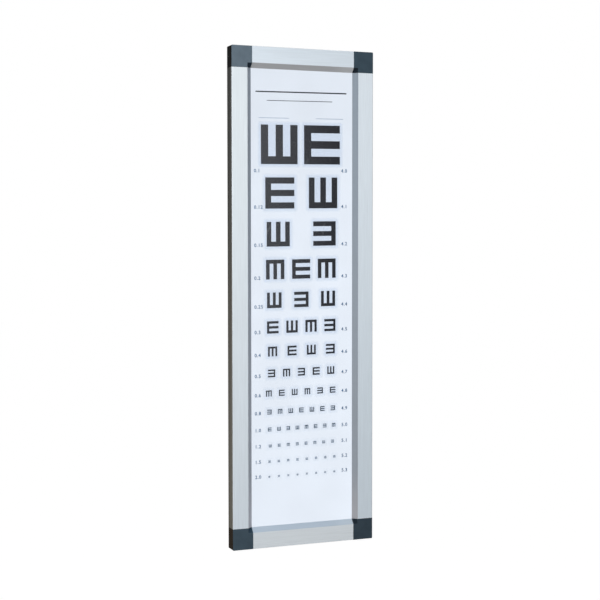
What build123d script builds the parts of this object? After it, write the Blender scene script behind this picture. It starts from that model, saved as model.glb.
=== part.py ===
from build123d import *
import math
import os

# A wall-hung light box for an eye test chart, framed in four snap-open rails.
# Row frame: x to the viewer's right, z up, the front faces -y, the wall plane is y = 0.
# The origin lies on the wall plane, midway between the two keyholes of the top rail.
# A rail section is drawn in (u, v): u inwards from the rail's outer side and
# v backwards from the front plane.

# Whole box
WIDTH = 282.0
HEIGHT = 927.0
DEPTH = 26.0

# Rails: what every rail and corner shares
RAIL_WIDTH = 39.4  # outer side to inner lip
FLAT_WIDTH = 30.3  # flat front, before the bevel falls towards the chart
BEVEL_DROP = 8.0
WALL = 1.4  # outer walls of the base extrusion
RIB = 1.2  # inner walls of the base extrusion
LEDGE_U = 24.2  # inner face of the base's inner wall, where the sheets are held
SHELF_REACH = 9.8  # shelf under the sheets, inwards of LEDGE_U
FLANGE_REACH = 5.8  # flange behind the back panel
WEB_V = 10.8  # front face of the web that closes the wiring channel
SIDE_GROOVE_V = 20.8
SIDE_GROOVE_WIDTH = 0.8
SIDE_GROOVE_DEPTH = 0.4

# Snap hinge along the outer front edge of each rail
PIVOT = 3.0  # hinge centre, from the outer side and from the front alike
BEAD_R = 1.6
HINGE_CLEARANCE = 0.06
SOCKET_WALL = 1.24
MOUTH_FROM = -50.0  # degrees from +u towards +v: the open part of the socket
MOUTH_TO = 95.0
NECK_TOP = 1.0  # neck of the bead, in front of the hinge centre
NECK_BOTTOM = 0.1
COVER_WALL = 1.4
SKIRT_WALL = 1.2
SKIRT_V = 6.5  # lower end of the cover's outer skirt
SWEEP_CLEARANCE = 0.3
EDGE_R = 0.8
END_GAP = 0.25  # cover to corner block, at each end
LEG_U = 12.6  # leg under the cover that the spring clips hold
LEG_WALL = 1.2
LEG_V = 7.6
HOOK_REACH = 1.4

# Spring clips
CLIP_THICKNESS = 0.6
CLIP_WIDTH = 16.0
CLIP_GAP = 0.3  # nose to the path of the cover's hook
CLIP_FIT = 0.2  # clip to the walls of its tray
CLIP_TOP_V = 2.6
CLIP_COUNT_SHORT = 2
CLIP_COUNT_LONG = 4
CLIP_PITCH_SHORT = 110.0
CLIP_PITCH_LONG = 230.0

# Sheets behind the frame opening, front to back
LIP_GAP = 0.3
CLEAR_THICKNESS = 1.0
FILM_THICKNESS = 0.2
DIFFUSER_THICKNESS = 1.8
GUIDE_THICKNESS = 4.0
REFLECTOR_THICKNESS = 0.5
EXPANSION_GAP = 0.8  # above the sheets
LED_AIR_GAP = 0.4  # light emitters to the edge of the light guide
PANEL_THICKNESS = 1.5
PANEL_FIT = 0.15  # each side of the panel in its groove
PANEL_EDGE_GAP = 0.4

# Light strips along both long edges
STRIP_WIDTH = 4.8
STRIP_THICKNESS = 1.0
STRIP_SHORTER = 2.0  # than the rail, both ends together
LED_LENGTH = 3.5
LED_WIDTH = 2.8
LED_HEIGHT = 0.8
LED_PITCH = 25.0

# Corner blocks
CORNER_WALL = 2.4
CORNER_EDGE_R = 1.6
TENON_LENGTH = 32.0
TENON_WALL = 2.0
TENON_FIT = 0.15
TENON_LEAD_IN = 1.0
WINDOW_WIDTH = 2.8  # passage of the strip lead through the block's inner wall
WINDOW_HEIGHT = 2.2
WINDOW_OVERRUN = 0.6  # of its cutter, past both faces of the wall

# Corner screws, driven from behind
SCREW_R = 1.4
SCREW_HEAD_R = 2.8
SCREW_LENGTH = 6.0
SCREW_HOLE_FIT = 0.1
SCREW_PILOT_FIT = 0.05
SCREW_ALONG = 16.0  # from the end of the rail

# Keyholes in the back web of the top rail
HANG_DROP = 14.5  # head hole, below the top of the box
HANG_SPACING = 100.0
KEYHOLE_R = 4.5
KEYSLOT_R = 2.2
KEYSLOT_RISE = 7.5

# Cord grommet in the underside
CORD_R = 2.6
CORD_X = 50.0
CORD_V = 19.2
GROMMET_NECK_R = 3.9
GROMMET_FIT = 0.1
GROMMET_FLANGE_R = 5.2
GROMMET_FLANGE = 1.3

# Terminal block and inner leads
TERMINAL_X = 22.0
TERMINAL_LENGTH = 16.0
TERMINAL_U = 5.0
TERMINAL_WIDTH = 15.0
TERMINAL_FRONT_GAP = 1.0
TERMINAL_SCREW_R = 1.5
TERMINAL_WELL_FIT = 0.3
TERMINAL_WELL_DEPTH = 4.0
TERMINAL_WELL_SPACING = 6.4
TERMINAL_WELL_DROP = 0.8  # below the middle of the block
LEAD_WIDTH = 1.4  # front to back
LEAD_THICKNESS = 1.2
LEAD_INSERT = 3.0
LEAD_SLOT_FIT = 0.25
LEAD_BEND_R = 6.0
LEAD_GAP = 0.3  # strip lead to the wall that the strip lies on
LEAD_WALL_GAP = 0.15  # strip lead to the front wall of the tenon
STRIP_LEAD_U = 17.0
SWITCH_LEAD_U = 8.0
SWITCH_LEAD_LIFT = 1.0  # in front of the switch's middle

# Rocker switch in the right side
SWITCH_Z = 110.0  # above the underside
SWITCH_BODY_WIDTH = 8.4
SWITCH_BODY_LENGTH = 13.2
SWITCH_BODY_DEPTH = 12.5
SWITCH_CUTOUT_FIT = 0.2
BEZEL_RIM = 1.0
BEZEL_HEIGHT = 1.2
ROCKER_HALF = 5.8
ROCKER_WIDTH = 6.4
ROCKER_FIT = 0.3
ROCKER_TILT = 9.0
ROCKER_VALLEY = 0.7
ROCKER_RISE = 1.0
ROCKER_BELLY = 2.6
ROCKER_PIN_R = 0.8
ROCKER_PIN_FIT = 0.05
ROCKER_PIN_REACH = 0.5
SPADE_LENGTH = 6.0
SPADE_WIDTH = 3.0
SPADE_THICKNESS = 0.8
SPADE_OFFSET = 3.5

# Places and sizes that follow from the values above
TOP = HANG_DROP
BOTTOM = TOP - HEIGHT
MID_Z = (TOP + BOTTOM) / 2
LONG_RAIL = HEIGHT - 2 * RAIL_WIDTH
SHORT_RAIL = WIDTH - 2 * RAIL_WIDTH
SOCKET_R = BEAD_R + HINGE_CLEARANCE
SWEEP_R = math.hypot(PIVOT, SKIRT_V - PIVOT) + SWEEP_CLEARANCE
NECK_LEG_U = PIVOT + SWEEP_R
CHANNEL_FRONT = WEB_V + RIB
CHANNEL_BACK = DEPTH - WALL
CHANNEL_INNER_U = LEDGE_U - RIB
CLEAR_V = BEVEL_DROP + LIP_GAP
FILM_V = CLEAR_V + CLEAR_THICKNESS
DIFFUSER_V = FILM_V + FILM_THICKNESS
GUIDE_V = DIFFUSER_V + DIFFUSER_THICKNESS
REFLECTOR_V = GUIDE_V + GUIDE_THICKNESS
SHELF_V = REFLECTOR_V + REFLECTOR_THICKNESS
PANEL_V = SHELF_V + RIB + PANEL_FIT
FLANGE_V = PANEL_V + PANEL_THICKNESS + PANEL_FIT
LED_V = GUIDE_V + GUIDE_THICKNESS / 2
LED_FACE_U = LEDGE_U + STRIP_THICKNESS + LED_HEIGHT
TENON_U0 = WALL + TENON_FIT
TENON_U1 = CHANNEL_INNER_U - TENON_FIT
TENON_V0 = CHANNEL_FRONT + TENON_FIT
TENON_V1 = CHANNEL_BACK - TENON_FIT
SCREW_U = (TENON_U0 + TENON_U1) / 2
STRIP_LEAD_V = TENON_V0 + TENON_WALL + LEAD_WALL_GAP + LEAD_WIDTH / 2
SWITCH_V = (CHANNEL_FRONT + CHANNEL_BACK) / 2
SWITCH_LEAD_V = SWITCH_V - SWITCH_LEAD_LIFT

SIDES = {
    "left": ((-WIDTH / 2, MID_Z), 0, LONG_RAIL),
    "bottom": ((0, BOTTOM), -90, SHORT_RAIL),
    "right": ((WIDTH / 2, MID_Z), 180, LONG_RAIL),
    "top": ((0, TOP), 90, SHORT_RAIL),
}
CORNERS = {
    "bottom_left": ((-WIDTH / 2, BOTTOM), 0),
    "bottom_right": ((WIDTH / 2, BOTTOM), -90),
    "top_right": ((WIDTH / 2, TOP), 180),
    "top_left": ((-WIDTH / 2, TOP), 90),
}


def seat(corner_xz, angle):
    """Place of a section's own axes (u, v, along) in the row frame."""
    x, z = corner_xz
    return Location((x, -DEPTH, z), (0, angle, 0))


def rail_seat(side):
    """Place of one rail's section, at the middle of its length."""
    corner_xz, angle, _ = SIDES[side]
    return seat(corner_xz, angle)


def bar(u0, v0, u1, v1):
    """Rectangle of a section, between two opposite corners."""
    return Pos((u0 + u1) / 2, (v0 + v1) / 2) * Rectangle(abs(u1 - u0), abs(v1 - v0))


def outline(*points):
    """Face of a section, bounded by straight lines."""
    return make_face(Polyline(*points, close=True))


def block(low, high):
    """Box between its lowest and highest corners."""
    size = [b - a for a, b in zip(low, high)]
    middle = [(a + b) / 2 for a, b in zip(low, high)]
    return Pos(*middle) * Box(*size)


def lip(wall):
    """Section of the bevelled lip, with a flat foot over the sheets."""
    run = RAIL_WIDTH - FLAT_WIDTH
    slope = math.hypot(run, BEVEL_DROP)
    skin = wall * slope / run
    foot = (BEVEL_DROP - skin) * run / BEVEL_DROP
    shoulder = (wall - skin) * run / BEVEL_DROP
    return outline(
        (FLAT_WIDTH - wall, 0),
        (FLAT_WIDTH, 0),
        (RAIL_WIDTH, BEVEL_DROP),
        (FLAT_WIDTH + foot, BEVEL_DROP),
        (FLAT_WIDTH + shoulder, wall),
        (FLAT_WIDTH - wall, wall),
    )


def sheet_holder(wall):
    """Section of the inner wall's shelf and flange, which hold the sheets and the panel."""
    shelf = bar(LEDGE_U - wall, SHELF_V, LEDGE_U + SHELF_REACH, SHELF_V + RIB)
    flange = bar(LEDGE_U - wall, FLANGE_V, LEDGE_U + FLANGE_REACH, FLANGE_V + RIB)
    return shelf + flange


def base_section():
    """Section of the base extrusion: wiring channel, clip tray, hinge bead, sheet holder."""
    shell = bar(0, 0, WALL, DEPTH)
    shell += bar(0, CHANNEL_BACK, LEDGE_U, DEPTH)
    shell += bar(0, WEB_V, LEDGE_U, CHANNEL_FRONT)
    shell += bar(CHANNEL_INNER_U, CLEAR_V + LIP_GAP, LEDGE_U, DEPTH)
    shell += sheet_holder(RIB)
    shell -= bar(0, SIDE_GROOVE_V, SIDE_GROOVE_DEPTH, SIDE_GROOVE_V + SIDE_GROOVE_WIDTH)
    shell -= Pos(PIVOT, PIVOT) * Circle(SWEEP_R)
    shell -= bar(-WALL, -WALL, PIVOT, PIVOT)
    neck = bar(PIVOT, PIVOT - NECK_TOP, NECK_LEG_U + RIB, PIVOT - NECK_BOTTOM)
    neck += bar(NECK_LEG_U, PIVOT - NECK_TOP, NECK_LEG_U + RIB, CHANNEL_FRONT)
    neck += Pos(PIVOT, PIVOT) * Circle(BEAD_R)
    return shell + neck


def cover_section():
    """Section of a snap cover: brushed front, bevelled lip, hinge socket, spring leg."""
    front = bar(0, 0, FLAT_WIDTH, COVER_WALL) + bar(0, 0, SKIRT_WALL, SKIRT_V)
    front = fillet(front.vertices().sort_by_distance((0, 0))[0], EDGE_R)
    far = 2 * PIVOT
    mouth = outline(
        (0, 0),
        (far * math.cos(math.radians(MOUTH_FROM)), far * math.sin(math.radians(MOUTH_FROM))),
        (far, 0),
        (far, far),
        (far * math.cos(math.radians(MOUTH_TO)), far * math.sin(math.radians(MOUTH_TO))),
    )
    socket = Circle(SOCKET_R + SOCKET_WALL) - mouth
    section = front + Pos(PIVOT, PIVOT) * socket
    section -= Pos(PIVOT, PIVOT) * Circle(SOCKET_R)
    section += bar(LEG_U, 0, LEG_U + LEG_WALL, LEG_V)
    section += bar(LEG_U, LEG_V - LEG_WALL, LEG_U + LEG_WALL + HOOK_REACH, LEG_V)
    return section + lip(COVER_WALL)


def clip_section():
    """Section of a spring clip: seat strip, upright, and a nose beside the cover's hook."""
    wall_u = CHANNEL_INNER_U - CLIP_FIT
    hook_r = math.hypot(LEG_U + LEG_WALL + HOOK_REACH - PIVOT, LEG_V - PIVOT)
    inside = Polyline(
        (NECK_LEG_U + RIB + CLIP_FIT, WEB_V),
        (wall_u, WEB_V),
        (wall_u, LEG_V + CLIP_THICKNESS),
        (PIVOT + hook_r + CLIP_GAP + CLIP_THICKNESS, (LEG_V + PIVOT) / 2),
        (wall_u - CLIP_THICKNESS, CLIP_TOP_V),
    )
    around = inside.wire().offset_2d(CLIP_THICKNESS, kind=Kind.ARC, side=Side.RIGHT, closed=True)
    return make_face(around.edges())


def rail_solid(section, side, shorter=0.0):
    """A section run along one rail, shorter by a gap at each end."""
    length = SIDES[side][2] - 2 * shorter
    return extrude(section, length / 2, both=True)


def screw_places(length):
    """Distances along a rail, from its middle, of the screws at both ends."""
    place = length / 2 - SCREW_ALONG
    return (-place, place)


def screw_hole():
    """Countersunk clearance hole in the back web, cut from the wall plane inwards."""
    head = SCREW_HEAD_R + SCREW_HOLE_FIT
    shank = SCREW_R + SCREW_HOLE_FIT
    sink = Pos(0, 0, (head - shank) / 2) * Cone(head, shank, head - shank)
    return sink + Pos(0, 0, WALL) * Cylinder(shank, 2 * WALL)


def from_back(solid, u, along):
    """Stand a solid that runs along +z on the wall plane, pointing to the front."""
    return Pos(u, DEPTH, along) * Rot(90, 0, 0) * solid


def keyhole():
    """Cutter for one keyhole: head hole with a narrow slot above it, along +z."""
    head = Circle(KEYHOLE_R)
    slot = bar(-KEYSLOT_R, 0, KEYSLOT_R, KEYSLOT_RISE) + Pos(0, KEYSLOT_RISE) * Circle(KEYSLOT_R)
    return extrude(head + slot, 2 * WALL)


def base_rail(side):
    """Base extrusion of one rail, drilled for its corner screws."""
    rail = rail_solid(base_section(), side)
    for along in screw_places(SIDES[side][2]):
        rail -= from_back(screw_hole(), SCREW_U, along)
    return rail_seat(side) * rail


def base_rail_top():
    """Top base rail, with the two keyholes that it hangs by."""
    rail = base_rail("top")
    for x in (-HANG_SPACING / 2, HANG_SPACING / 2):
        rail -= Pos(x, WALL / 2, 0) * Rot(90, 0, 0) * keyhole()
    return rail


def base_rail_bottom():
    """Bottom base rail, with the hole for the cord grommet."""
    hole = Pos(CORD_X, CORD_V - DEPTH, BOTTOM) * Cylinder(GROMMET_NECK_R + GROMMET_FIT, 3 * WALL)
    return base_rail("bottom") - hole


def base_rail_right():
    """Right base rail, with the cut-out for the rocker switch."""
    cutout = Box(
        3 * WALL,
        SWITCH_BODY_WIDTH + 2 * SWITCH_CUTOUT_FIT,
        SWITCH_BODY_LENGTH + 2 * SWITCH_CUTOUT_FIT,
    )
    return base_rail("right") - Pos(WIDTH / 2, SWITCH_V - DEPTH, BOTTOM + SWITCH_Z) * cutout


def snap_cover(side):
    """Snap cover of one rail, a little shorter than its base."""
    return rail_seat(side) * rail_solid(cover_section(), side, END_GAP)


def spring_clips(side, count, pitch):
    """Spring clips of one rail, evenly spaced about its middle."""
    clip = extrude(clip_section(), CLIP_WIDTH / 2, both=True)
    places = [(i - (count - 1) / 2) * pitch for i in range(count)]
    return [rail_seat(side) * Pos(0, 0, along) * clip for along in places]


def corner_arm_section():
    """Section of a corner block's arm: moulded walls, lip and sheet holder."""
    wall = CORNER_WALL
    arm = bar(0, 0, wall, DEPTH) + bar(0, 0, FLAT_WIDTH, wall)
    arm += bar(0, DEPTH - wall, LEDGE_U, DEPTH)
    arm += bar(LEDGE_U - wall, 0, LEDGE_U, DEPTH)
    return arm + lip(wall) + sheet_holder(wall)


def corner_arm():
    """One arm of a corner block, mitred on the block's diagonal, with its tenon."""
    arm = extrude(corner_arm_section(), RAIL_WIDTH)
    cheek = outline(
        (0, 0),
        (FLAT_WIDTH, 0),
        (RAIL_WIDTH, BEVEL_DROP),
        (LEDGE_U, BEVEL_DROP),
        (LEDGE_U, DEPTH),
        (0, DEPTH),
    )
    arm += Pos(0, 0, RAIL_WIDTH - CORNER_WALL) * extrude(cheek, CORNER_WALL)
    beyond = make_face(Polyline((0, 0, 0), (RAIL_WIDTH, 0, 0), (RAIL_WIDTH, 0, RAIL_WIDTH), close=True))
    arm -= extrude(beyond, DEPTH, dir=(0, 1, 0))
    tenon = block(
        (TENON_U0, TENON_V0, RAIL_WIDTH - CORNER_WALL),
        (TENON_U1, TENON_V1, RAIL_WIDTH + TENON_LENGTH),
    )
    tenon = chamfer(tenon.faces().sort_by(Axis.Z)[-1].edges(), TENON_LEAD_IN)
    core = block(
        (TENON_U0 + TENON_WALL, TENON_V0 + TENON_WALL, RAIL_WIDTH - 2 * CORNER_WALL),
        (TENON_U1 - TENON_WALL, TENON_V1 - TENON_WALL, RAIL_WIDTH + TENON_LENGTH),
    )
    window_v = STRIP_LEAD_V - WINDOW_HEIGHT / 2
    window = block(
        (LEDGE_U - CORNER_WALL - WINDOW_OVERRUN, window_v, LEDGE_U),
        (LEDGE_U + WINDOW_OVERRUN, window_v + WINDOW_HEIGHT, LEDGE_U + WINDOW_WIDTH),
    )
    pilot = Cylinder(SCREW_R + SCREW_PILOT_FIT, 2 * SCREW_LENGTH)
    return arm + tenon - core - window - from_back(pilot, SCREW_U, RAIL_WIDTH + SCREW_ALONG)


def corner_block(corner):
    """Corner block: two mitred arms, the same on both sides of the diagonal."""
    arm = corner_arm()
    diagonal = Plane(origin=(0, 0, 0), z_dir=(1, 0, -1))
    both = arm + mirror(arm, about=diagonal)
    both = fillet(both.edges().filter_by(Axis.Y).sort_by_distance((0, DEPTH / 2, 0))[0], CORNER_EDGE_R)
    return seat(*CORNERS[corner]) * both


def corner_screw():
    """Countersunk self-tapping screw, head outwards at z = 0."""
    head_depth = SCREW_HEAD_R - SCREW_R
    head = Pos(0, 0, head_depth / 2) * Cone(SCREW_HEAD_R, SCREW_R, head_depth)
    shank = Pos(0, 0, (head_depth + SCREW_LENGTH) / 2) * Cylinder(SCREW_R, SCREW_LENGTH - head_depth)
    return head + shank


def corner_screws():
    """All corner screws, through the back webs into the tenons."""
    screws = []
    for side, (_, _, length) in SIDES.items():
        for along in screw_places(length):
            screws.append(rail_seat(side) * from_back(corner_screw(), SCREW_U, along))
    return screws


def sheet(front_v, thickness, side_gap, foot_gap, head_gap):
    """Rectangular sheet, set in from the ledges of the four rails."""
    low = (-WIDTH / 2 + LEDGE_U + side_gap, front_v - DEPTH, BOTTOM + LEDGE_U + foot_gap)
    high = (WIDTH / 2 - LEDGE_U - side_gap, front_v - DEPTH + thickness, TOP - LEDGE_U - head_gap)
    return block(low, high)


def stacked_sheet(front_v, thickness):
    """A sheet of the lit stack, which stands on the bottom rail between the light strips."""
    return sheet(front_v, thickness, LED_FACE_U + LED_AIR_GAP - LEDGE_U, 0, EXPANSION_GAP)


def back_panel():
    """Panel in the grooves of all four rails."""
    return sheet(PANEL_V, PANEL_THICKNESS, PANEL_EDGE_GAP, PANEL_EDGE_GAP, PANEL_EDGE_GAP)


def led_strip(side):
    """Circuit strip on the inner wall of a long rail."""
    half = (LONG_RAIL - STRIP_SHORTER) / 2
    low = (LEDGE_U, LED_V - STRIP_WIDTH / 2, -half)
    high = (LEDGE_U + STRIP_THICKNESS, LED_V + STRIP_WIDTH / 2, half)
    return rail_seat(side) * block(low, high)


def led_emitters(side):
    """Light emitters along one strip, facing the edge of the light guide."""
    count = int((LONG_RAIL - STRIP_SHORTER - LED_LENGTH) // LED_PITCH)
    emitter = Pos(LED_FACE_U - LED_HEIGHT / 2, LED_V, 0) * Box(LED_HEIGHT, LED_WIDTH, LED_LENGTH)
    places = [(i - (count - 1) / 2) * LED_PITCH for i in range(count)]
    return [rail_seat(side) * Pos(0, 0, along) * emitter for along in places]


def cord_grommet():
    """Rubber grommet that leads the supply cord through the underside."""
    section = bar(CORD_R, -GROMMET_FLANGE, GROMMET_FLANGE_R, 0)
    section += bar(CORD_R, -GROMMET_FLANGE, GROMMET_NECK_R, WALL + GROMMET_FLANGE)
    section += bar(CORD_R, WALL, GROMMET_FLANGE_R, WALL + GROMMET_FLANGE)
    ring = revolve(Plane.XZ * section, Axis.Z)
    return Pos(CORD_X, CORD_V - DEPTH, BOTTOM) * ring


def terminal_block():
    """Terminal block on the back web inside the bottom rail, with its screw wells and lead slots."""
    front = CHANNEL_FRONT + TERMINAL_FRONT_GAP
    body = block(
        (TERMINAL_X - TERMINAL_LENGTH / 2, front - DEPTH, BOTTOM + TERMINAL_U),
        (TERMINAL_X + TERMINAL_LENGTH / 2, -WALL, BOTTOM + TERMINAL_U + TERMINAL_WIDTH),
    )
    for x, z in terminal_wells():
        well = Cylinder(TERMINAL_SCREW_R + TERMINAL_WELL_FIT, 2 * TERMINAL_WELL_DEPTH)
        body -= Pos(x, front - DEPTH, z) * Rot(90, 0, 0) * well
    slot = Box(2 * LEAD_INSERT, LEAD_WIDTH + 2 * LEAD_SLOT_FIT, LEAD_THICKNESS + 2 * LEAD_SLOT_FIT)
    right = TERMINAL_X + TERMINAL_LENGTH / 2
    left = TERMINAL_X - TERMINAL_LENGTH / 2
    body -= Pos(right, STRIP_LEAD_V - DEPTH, BOTTOM + STRIP_LEAD_U) * slot
    body -= Pos(left, STRIP_LEAD_V - DEPTH, BOTTOM + STRIP_LEAD_U) * slot
    body -= Pos(right, SWITCH_LEAD_V - DEPTH, BOTTOM + SWITCH_LEAD_U) * slot
    return body


def terminal_wells():
    """Centres (x, z) of the screw wells in the terminal block."""
    z = BOTTOM + TERMINAL_U + TERMINAL_WIDTH / 2 - TERMINAL_WELL_DROP
    return [(TERMINAL_X + side * TERMINAL_WELL_SPACING / 2, z) for side in (-1, 1)]


def terminal_screws():
    """Brass screws at the bottom of the wells."""
    depth = CHANNEL_FRONT + TERMINAL_FRONT_GAP + TERMINAL_WELL_DEPTH - DEPTH
    height = TERMINAL_WELL_DEPTH / 2
    screw = Rot(90, 0, 0) * Cylinder(TERMINAL_SCREW_R, height)
    return [Pos(x, depth - height / 2, z) * screw for x, z in terminal_wells()]


def lead(points):
    """Flat lead along two straight runs joined by a bend."""
    path = FilletPolyline(*points, radius=LEAD_BEND_R)
    start = Plane(origin=path @ 0, x_dir=(0, 1, 0), z_dir=path % 0)
    return sweep(start * Rectangle(LEAD_WIDTH, LEAD_THICKNESS), path=path)


def strip_lead(side):
    """Lead from the terminal block round the lower corner to the end of one light strip."""
    sign = 1 if side == "right" else -1
    y = STRIP_LEAD_V - DEPTH
    start = TERMINAL_X + sign * (TERMINAL_LENGTH / 2 - LEAD_INSERT)
    turn = sign * (WIDTH / 2 - LEDGE_U - LEAD_GAP - LEAD_THICKNESS / 2)
    end_z = BOTTOM + RAIL_WIDTH + STRIP_SHORTER / 2
    return lead([(start, y, BOTTOM + STRIP_LEAD_U), (turn, y, BOTTOM + STRIP_LEAD_U), (turn, y, end_z)])


def switch_lead():
    """Lead from the terminal block round the lower right corner to the switch."""
    y = SWITCH_LEAD_V - DEPTH
    start = TERMINAL_X + TERMINAL_LENGTH / 2 - LEAD_INSERT
    turn = WIDTH / 2 - SWITCH_BODY_DEPTH - SPADE_LENGTH / 2
    end_z = BOTTOM + SWITCH_Z - SPADE_OFFSET - SPADE_THICKNESS / 2
    return lead([(start, y, BOTTOM + SWITCH_LEAD_U), (turn, y, BOTTOM + SWITCH_LEAD_U), (turn, y, end_z)])


def switch_seat():
    """Place of the switch: its x points out of the right side, z along the rail."""
    return Pos(WIDTH / 2, SWITCH_V - DEPTH, BOTTOM + SWITCH_Z)


def switch_housing():
    """Switch body and bezel, hollowed for the rocker."""
    body = block(
        (-SWITCH_BODY_DEPTH, -SWITCH_BODY_WIDTH / 2, -SWITCH_BODY_LENGTH / 2),
        (0, SWITCH_BODY_WIDTH / 2, SWITCH_BODY_LENGTH / 2),
    )
    rim = BEZEL_RIM + SWITCH_CUTOUT_FIT
    bezel = block(
        (0, -SWITCH_BODY_WIDTH / 2 - rim, -SWITCH_BODY_LENGTH / 2 - rim),
        (BEZEL_HEIGHT, SWITCH_BODY_WIDTH / 2 + rim, SWITCH_BODY_LENGTH / 2 + rim),
    )
    bezel = chamfer(bezel.faces().sort_by(Axis.X)[-1].edges(), BEZEL_HEIGHT / 3)
    reach = ROCKER_HALF + ROCKER_FIT
    hollow = block(
        (-reach, -ROCKER_WIDTH / 2 - ROCKER_FIT, -reach),
        (BEZEL_HEIGHT, ROCKER_WIDTH / 2 + ROCKER_FIT, reach),
    )
    pin_hole = Rot(90, 0, 0) * Cylinder(
        ROCKER_PIN_R + ROCKER_PIN_FIT, ROCKER_WIDTH + 2 * (ROCKER_FIT + ROCKER_PIN_REACH)
    )
    return switch_seat() * (body + bezel - hollow - pin_hole)


def rocker():
    """Rocker with two faces that meet in a shallow valley, tipped to its on side."""
    high = ROCKER_VALLEY + ROCKER_RISE
    box = outline(
        (-ROCKER_BELLY, -ROCKER_HALF),
        (high, -ROCKER_HALF),
        (ROCKER_VALLEY, 0),
        (high, ROCKER_HALF),
        (-ROCKER_BELLY, ROCKER_HALF),
    )
    shape = Circle(ROCKER_HALF) & box
    body = extrude(shape, ROCKER_WIDTH / 2, both=True)
    pin_length = ROCKER_WIDTH + 2 * (ROCKER_FIT + ROCKER_PIN_REACH) - 2 * ROCKER_PIN_FIT
    body += Cylinder(ROCKER_PIN_R, pin_length)
    return switch_seat() * Rot(0, ROCKER_TILT, 0) * Rot(90, 0, 0) * body


def switch_spades():
    """Two flat terminals behind the switch body."""
    spade = block(
        (-SWITCH_BODY_DEPTH - SPADE_LENGTH, -SPADE_WIDTH / 2, -SPADE_THICKNESS / 2),
        (-SWITCH_BODY_DEPTH, SPADE_WIDTH / 2, SPADE_THICKNESS / 2),
    )
    return [switch_seat() * Pos(0, 0, dz) * spade for dz in (-SPADE_OFFSET, SPADE_OFFSET)]


def build():
    """Every node of the light box, by name."""
    nodes = {
        "base_rail_left": base_rail("left"),
        "base_rail_right": base_rail_right(),
        "base_rail_top": base_rail_top(),
        "base_rail_bottom": base_rail_bottom(),
    }
    for side in SIDES:
        nodes["snap_cover_" + side] = snap_cover(side)
        short = SIDES[side][2] == SHORT_RAIL
        count = CLIP_COUNT_SHORT if short else CLIP_COUNT_LONG
        pitch = CLIP_PITCH_SHORT if short else CLIP_PITCH_LONG
        nodes["spring_clips_" + side] = spring_clips(side, count, pitch)
    for corner in CORNERS:
        nodes["corner_block_" + corner] = corner_block(corner)
    nodes["corner_screws"] = corner_screws()
    nodes["clear_cover_sheet"] = stacked_sheet(CLEAR_V, CLEAR_THICKNESS)
    nodes["chart_film"] = stacked_sheet(FILM_V, FILM_THICKNESS)
    nodes["diffuser_sheet"] = stacked_sheet(DIFFUSER_V, DIFFUSER_THICKNESS)
    nodes["light_guide_plate"] = stacked_sheet(GUIDE_V, GUIDE_THICKNESS)
    nodes["reflector_sheet"] = stacked_sheet(REFLECTOR_V, REFLECTOR_THICKNESS)
    nodes["back_panel"] = back_panel()
    for side in ("left", "right"):
        nodes["led_strip_" + side] = led_strip(side)
        nodes["led_emitters_" + side] = led_emitters(side)
        nodes["strip_lead_" + side] = strip_lead(side)
    nodes["switch_lead"] = switch_lead()
    nodes["cord_grommet"] = cord_grommet()
    nodes["terminal_block"] = terminal_block()
    nodes["terminal_screws"] = terminal_screws()
    nodes["switch_housing"] = switch_housing()
    nodes["switch_rocker"] = rocker()
    nodes["switch_spades"] = switch_spades()
    return nodes


def write(nodes):
    """One STEP file per node."""
    os.makedirs("parts", exist_ok=True)
    for name, shape in nodes.items():
        whole = Compound(children=list(shape)) if isinstance(shape, list) else shape
        export_step(whole, os.path.join("parts", name + ".step"))


write(build())
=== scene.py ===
"""Looks of a wall-hung light box for an eye test chart.

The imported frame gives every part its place. This script dresses each part in its finish, prints
the chart on its film, marks the rocker, drives the corner screws and sets up a plain studio.
Lengths are in metres, in the row frame: x to the reader's right, y into the wall, z up.
"""

import logging
import math
from dataclasses import dataclass
from enum import Enum
from typing import Any, Iterable, Sequence

import bmesh
import bpy
from mathutils import Matrix, Vector


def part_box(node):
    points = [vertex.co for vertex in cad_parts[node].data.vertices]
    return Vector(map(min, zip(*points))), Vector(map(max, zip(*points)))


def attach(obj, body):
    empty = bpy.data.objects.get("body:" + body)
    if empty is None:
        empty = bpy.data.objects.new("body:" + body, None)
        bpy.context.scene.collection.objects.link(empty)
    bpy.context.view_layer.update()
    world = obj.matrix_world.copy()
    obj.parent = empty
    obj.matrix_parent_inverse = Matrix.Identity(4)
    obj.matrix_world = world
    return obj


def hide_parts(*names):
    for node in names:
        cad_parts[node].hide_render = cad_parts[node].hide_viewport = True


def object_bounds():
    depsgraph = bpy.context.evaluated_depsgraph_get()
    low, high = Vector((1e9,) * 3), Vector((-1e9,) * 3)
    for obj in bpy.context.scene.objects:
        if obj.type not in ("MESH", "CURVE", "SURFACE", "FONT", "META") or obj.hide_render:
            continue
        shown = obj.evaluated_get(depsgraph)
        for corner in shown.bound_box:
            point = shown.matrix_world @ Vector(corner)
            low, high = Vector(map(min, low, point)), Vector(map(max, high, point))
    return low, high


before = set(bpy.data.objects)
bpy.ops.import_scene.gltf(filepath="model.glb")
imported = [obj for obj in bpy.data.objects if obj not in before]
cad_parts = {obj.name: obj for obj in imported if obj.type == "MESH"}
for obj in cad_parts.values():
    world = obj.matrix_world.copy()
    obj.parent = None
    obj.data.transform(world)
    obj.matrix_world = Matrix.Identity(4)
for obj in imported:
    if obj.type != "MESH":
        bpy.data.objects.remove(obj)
CAD_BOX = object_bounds()

LOG = logging.getLogger("light_box")
MM = 0.001
FLAT_WIDTH = 30.3 * MM  # flat front of a rail and of a corner block
WELD_DISTANCE = 0.001 * MM  # under which two corners of loose triangles are one
NOISE_RANGE = (0.3, 0.7)  # values that a noise mostly keeps between
HALO = "halo"  # mesh attribute that shapes the halos

Colour = tuple[float, float, float]
Socket = bpy.types.NodeSocket


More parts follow.
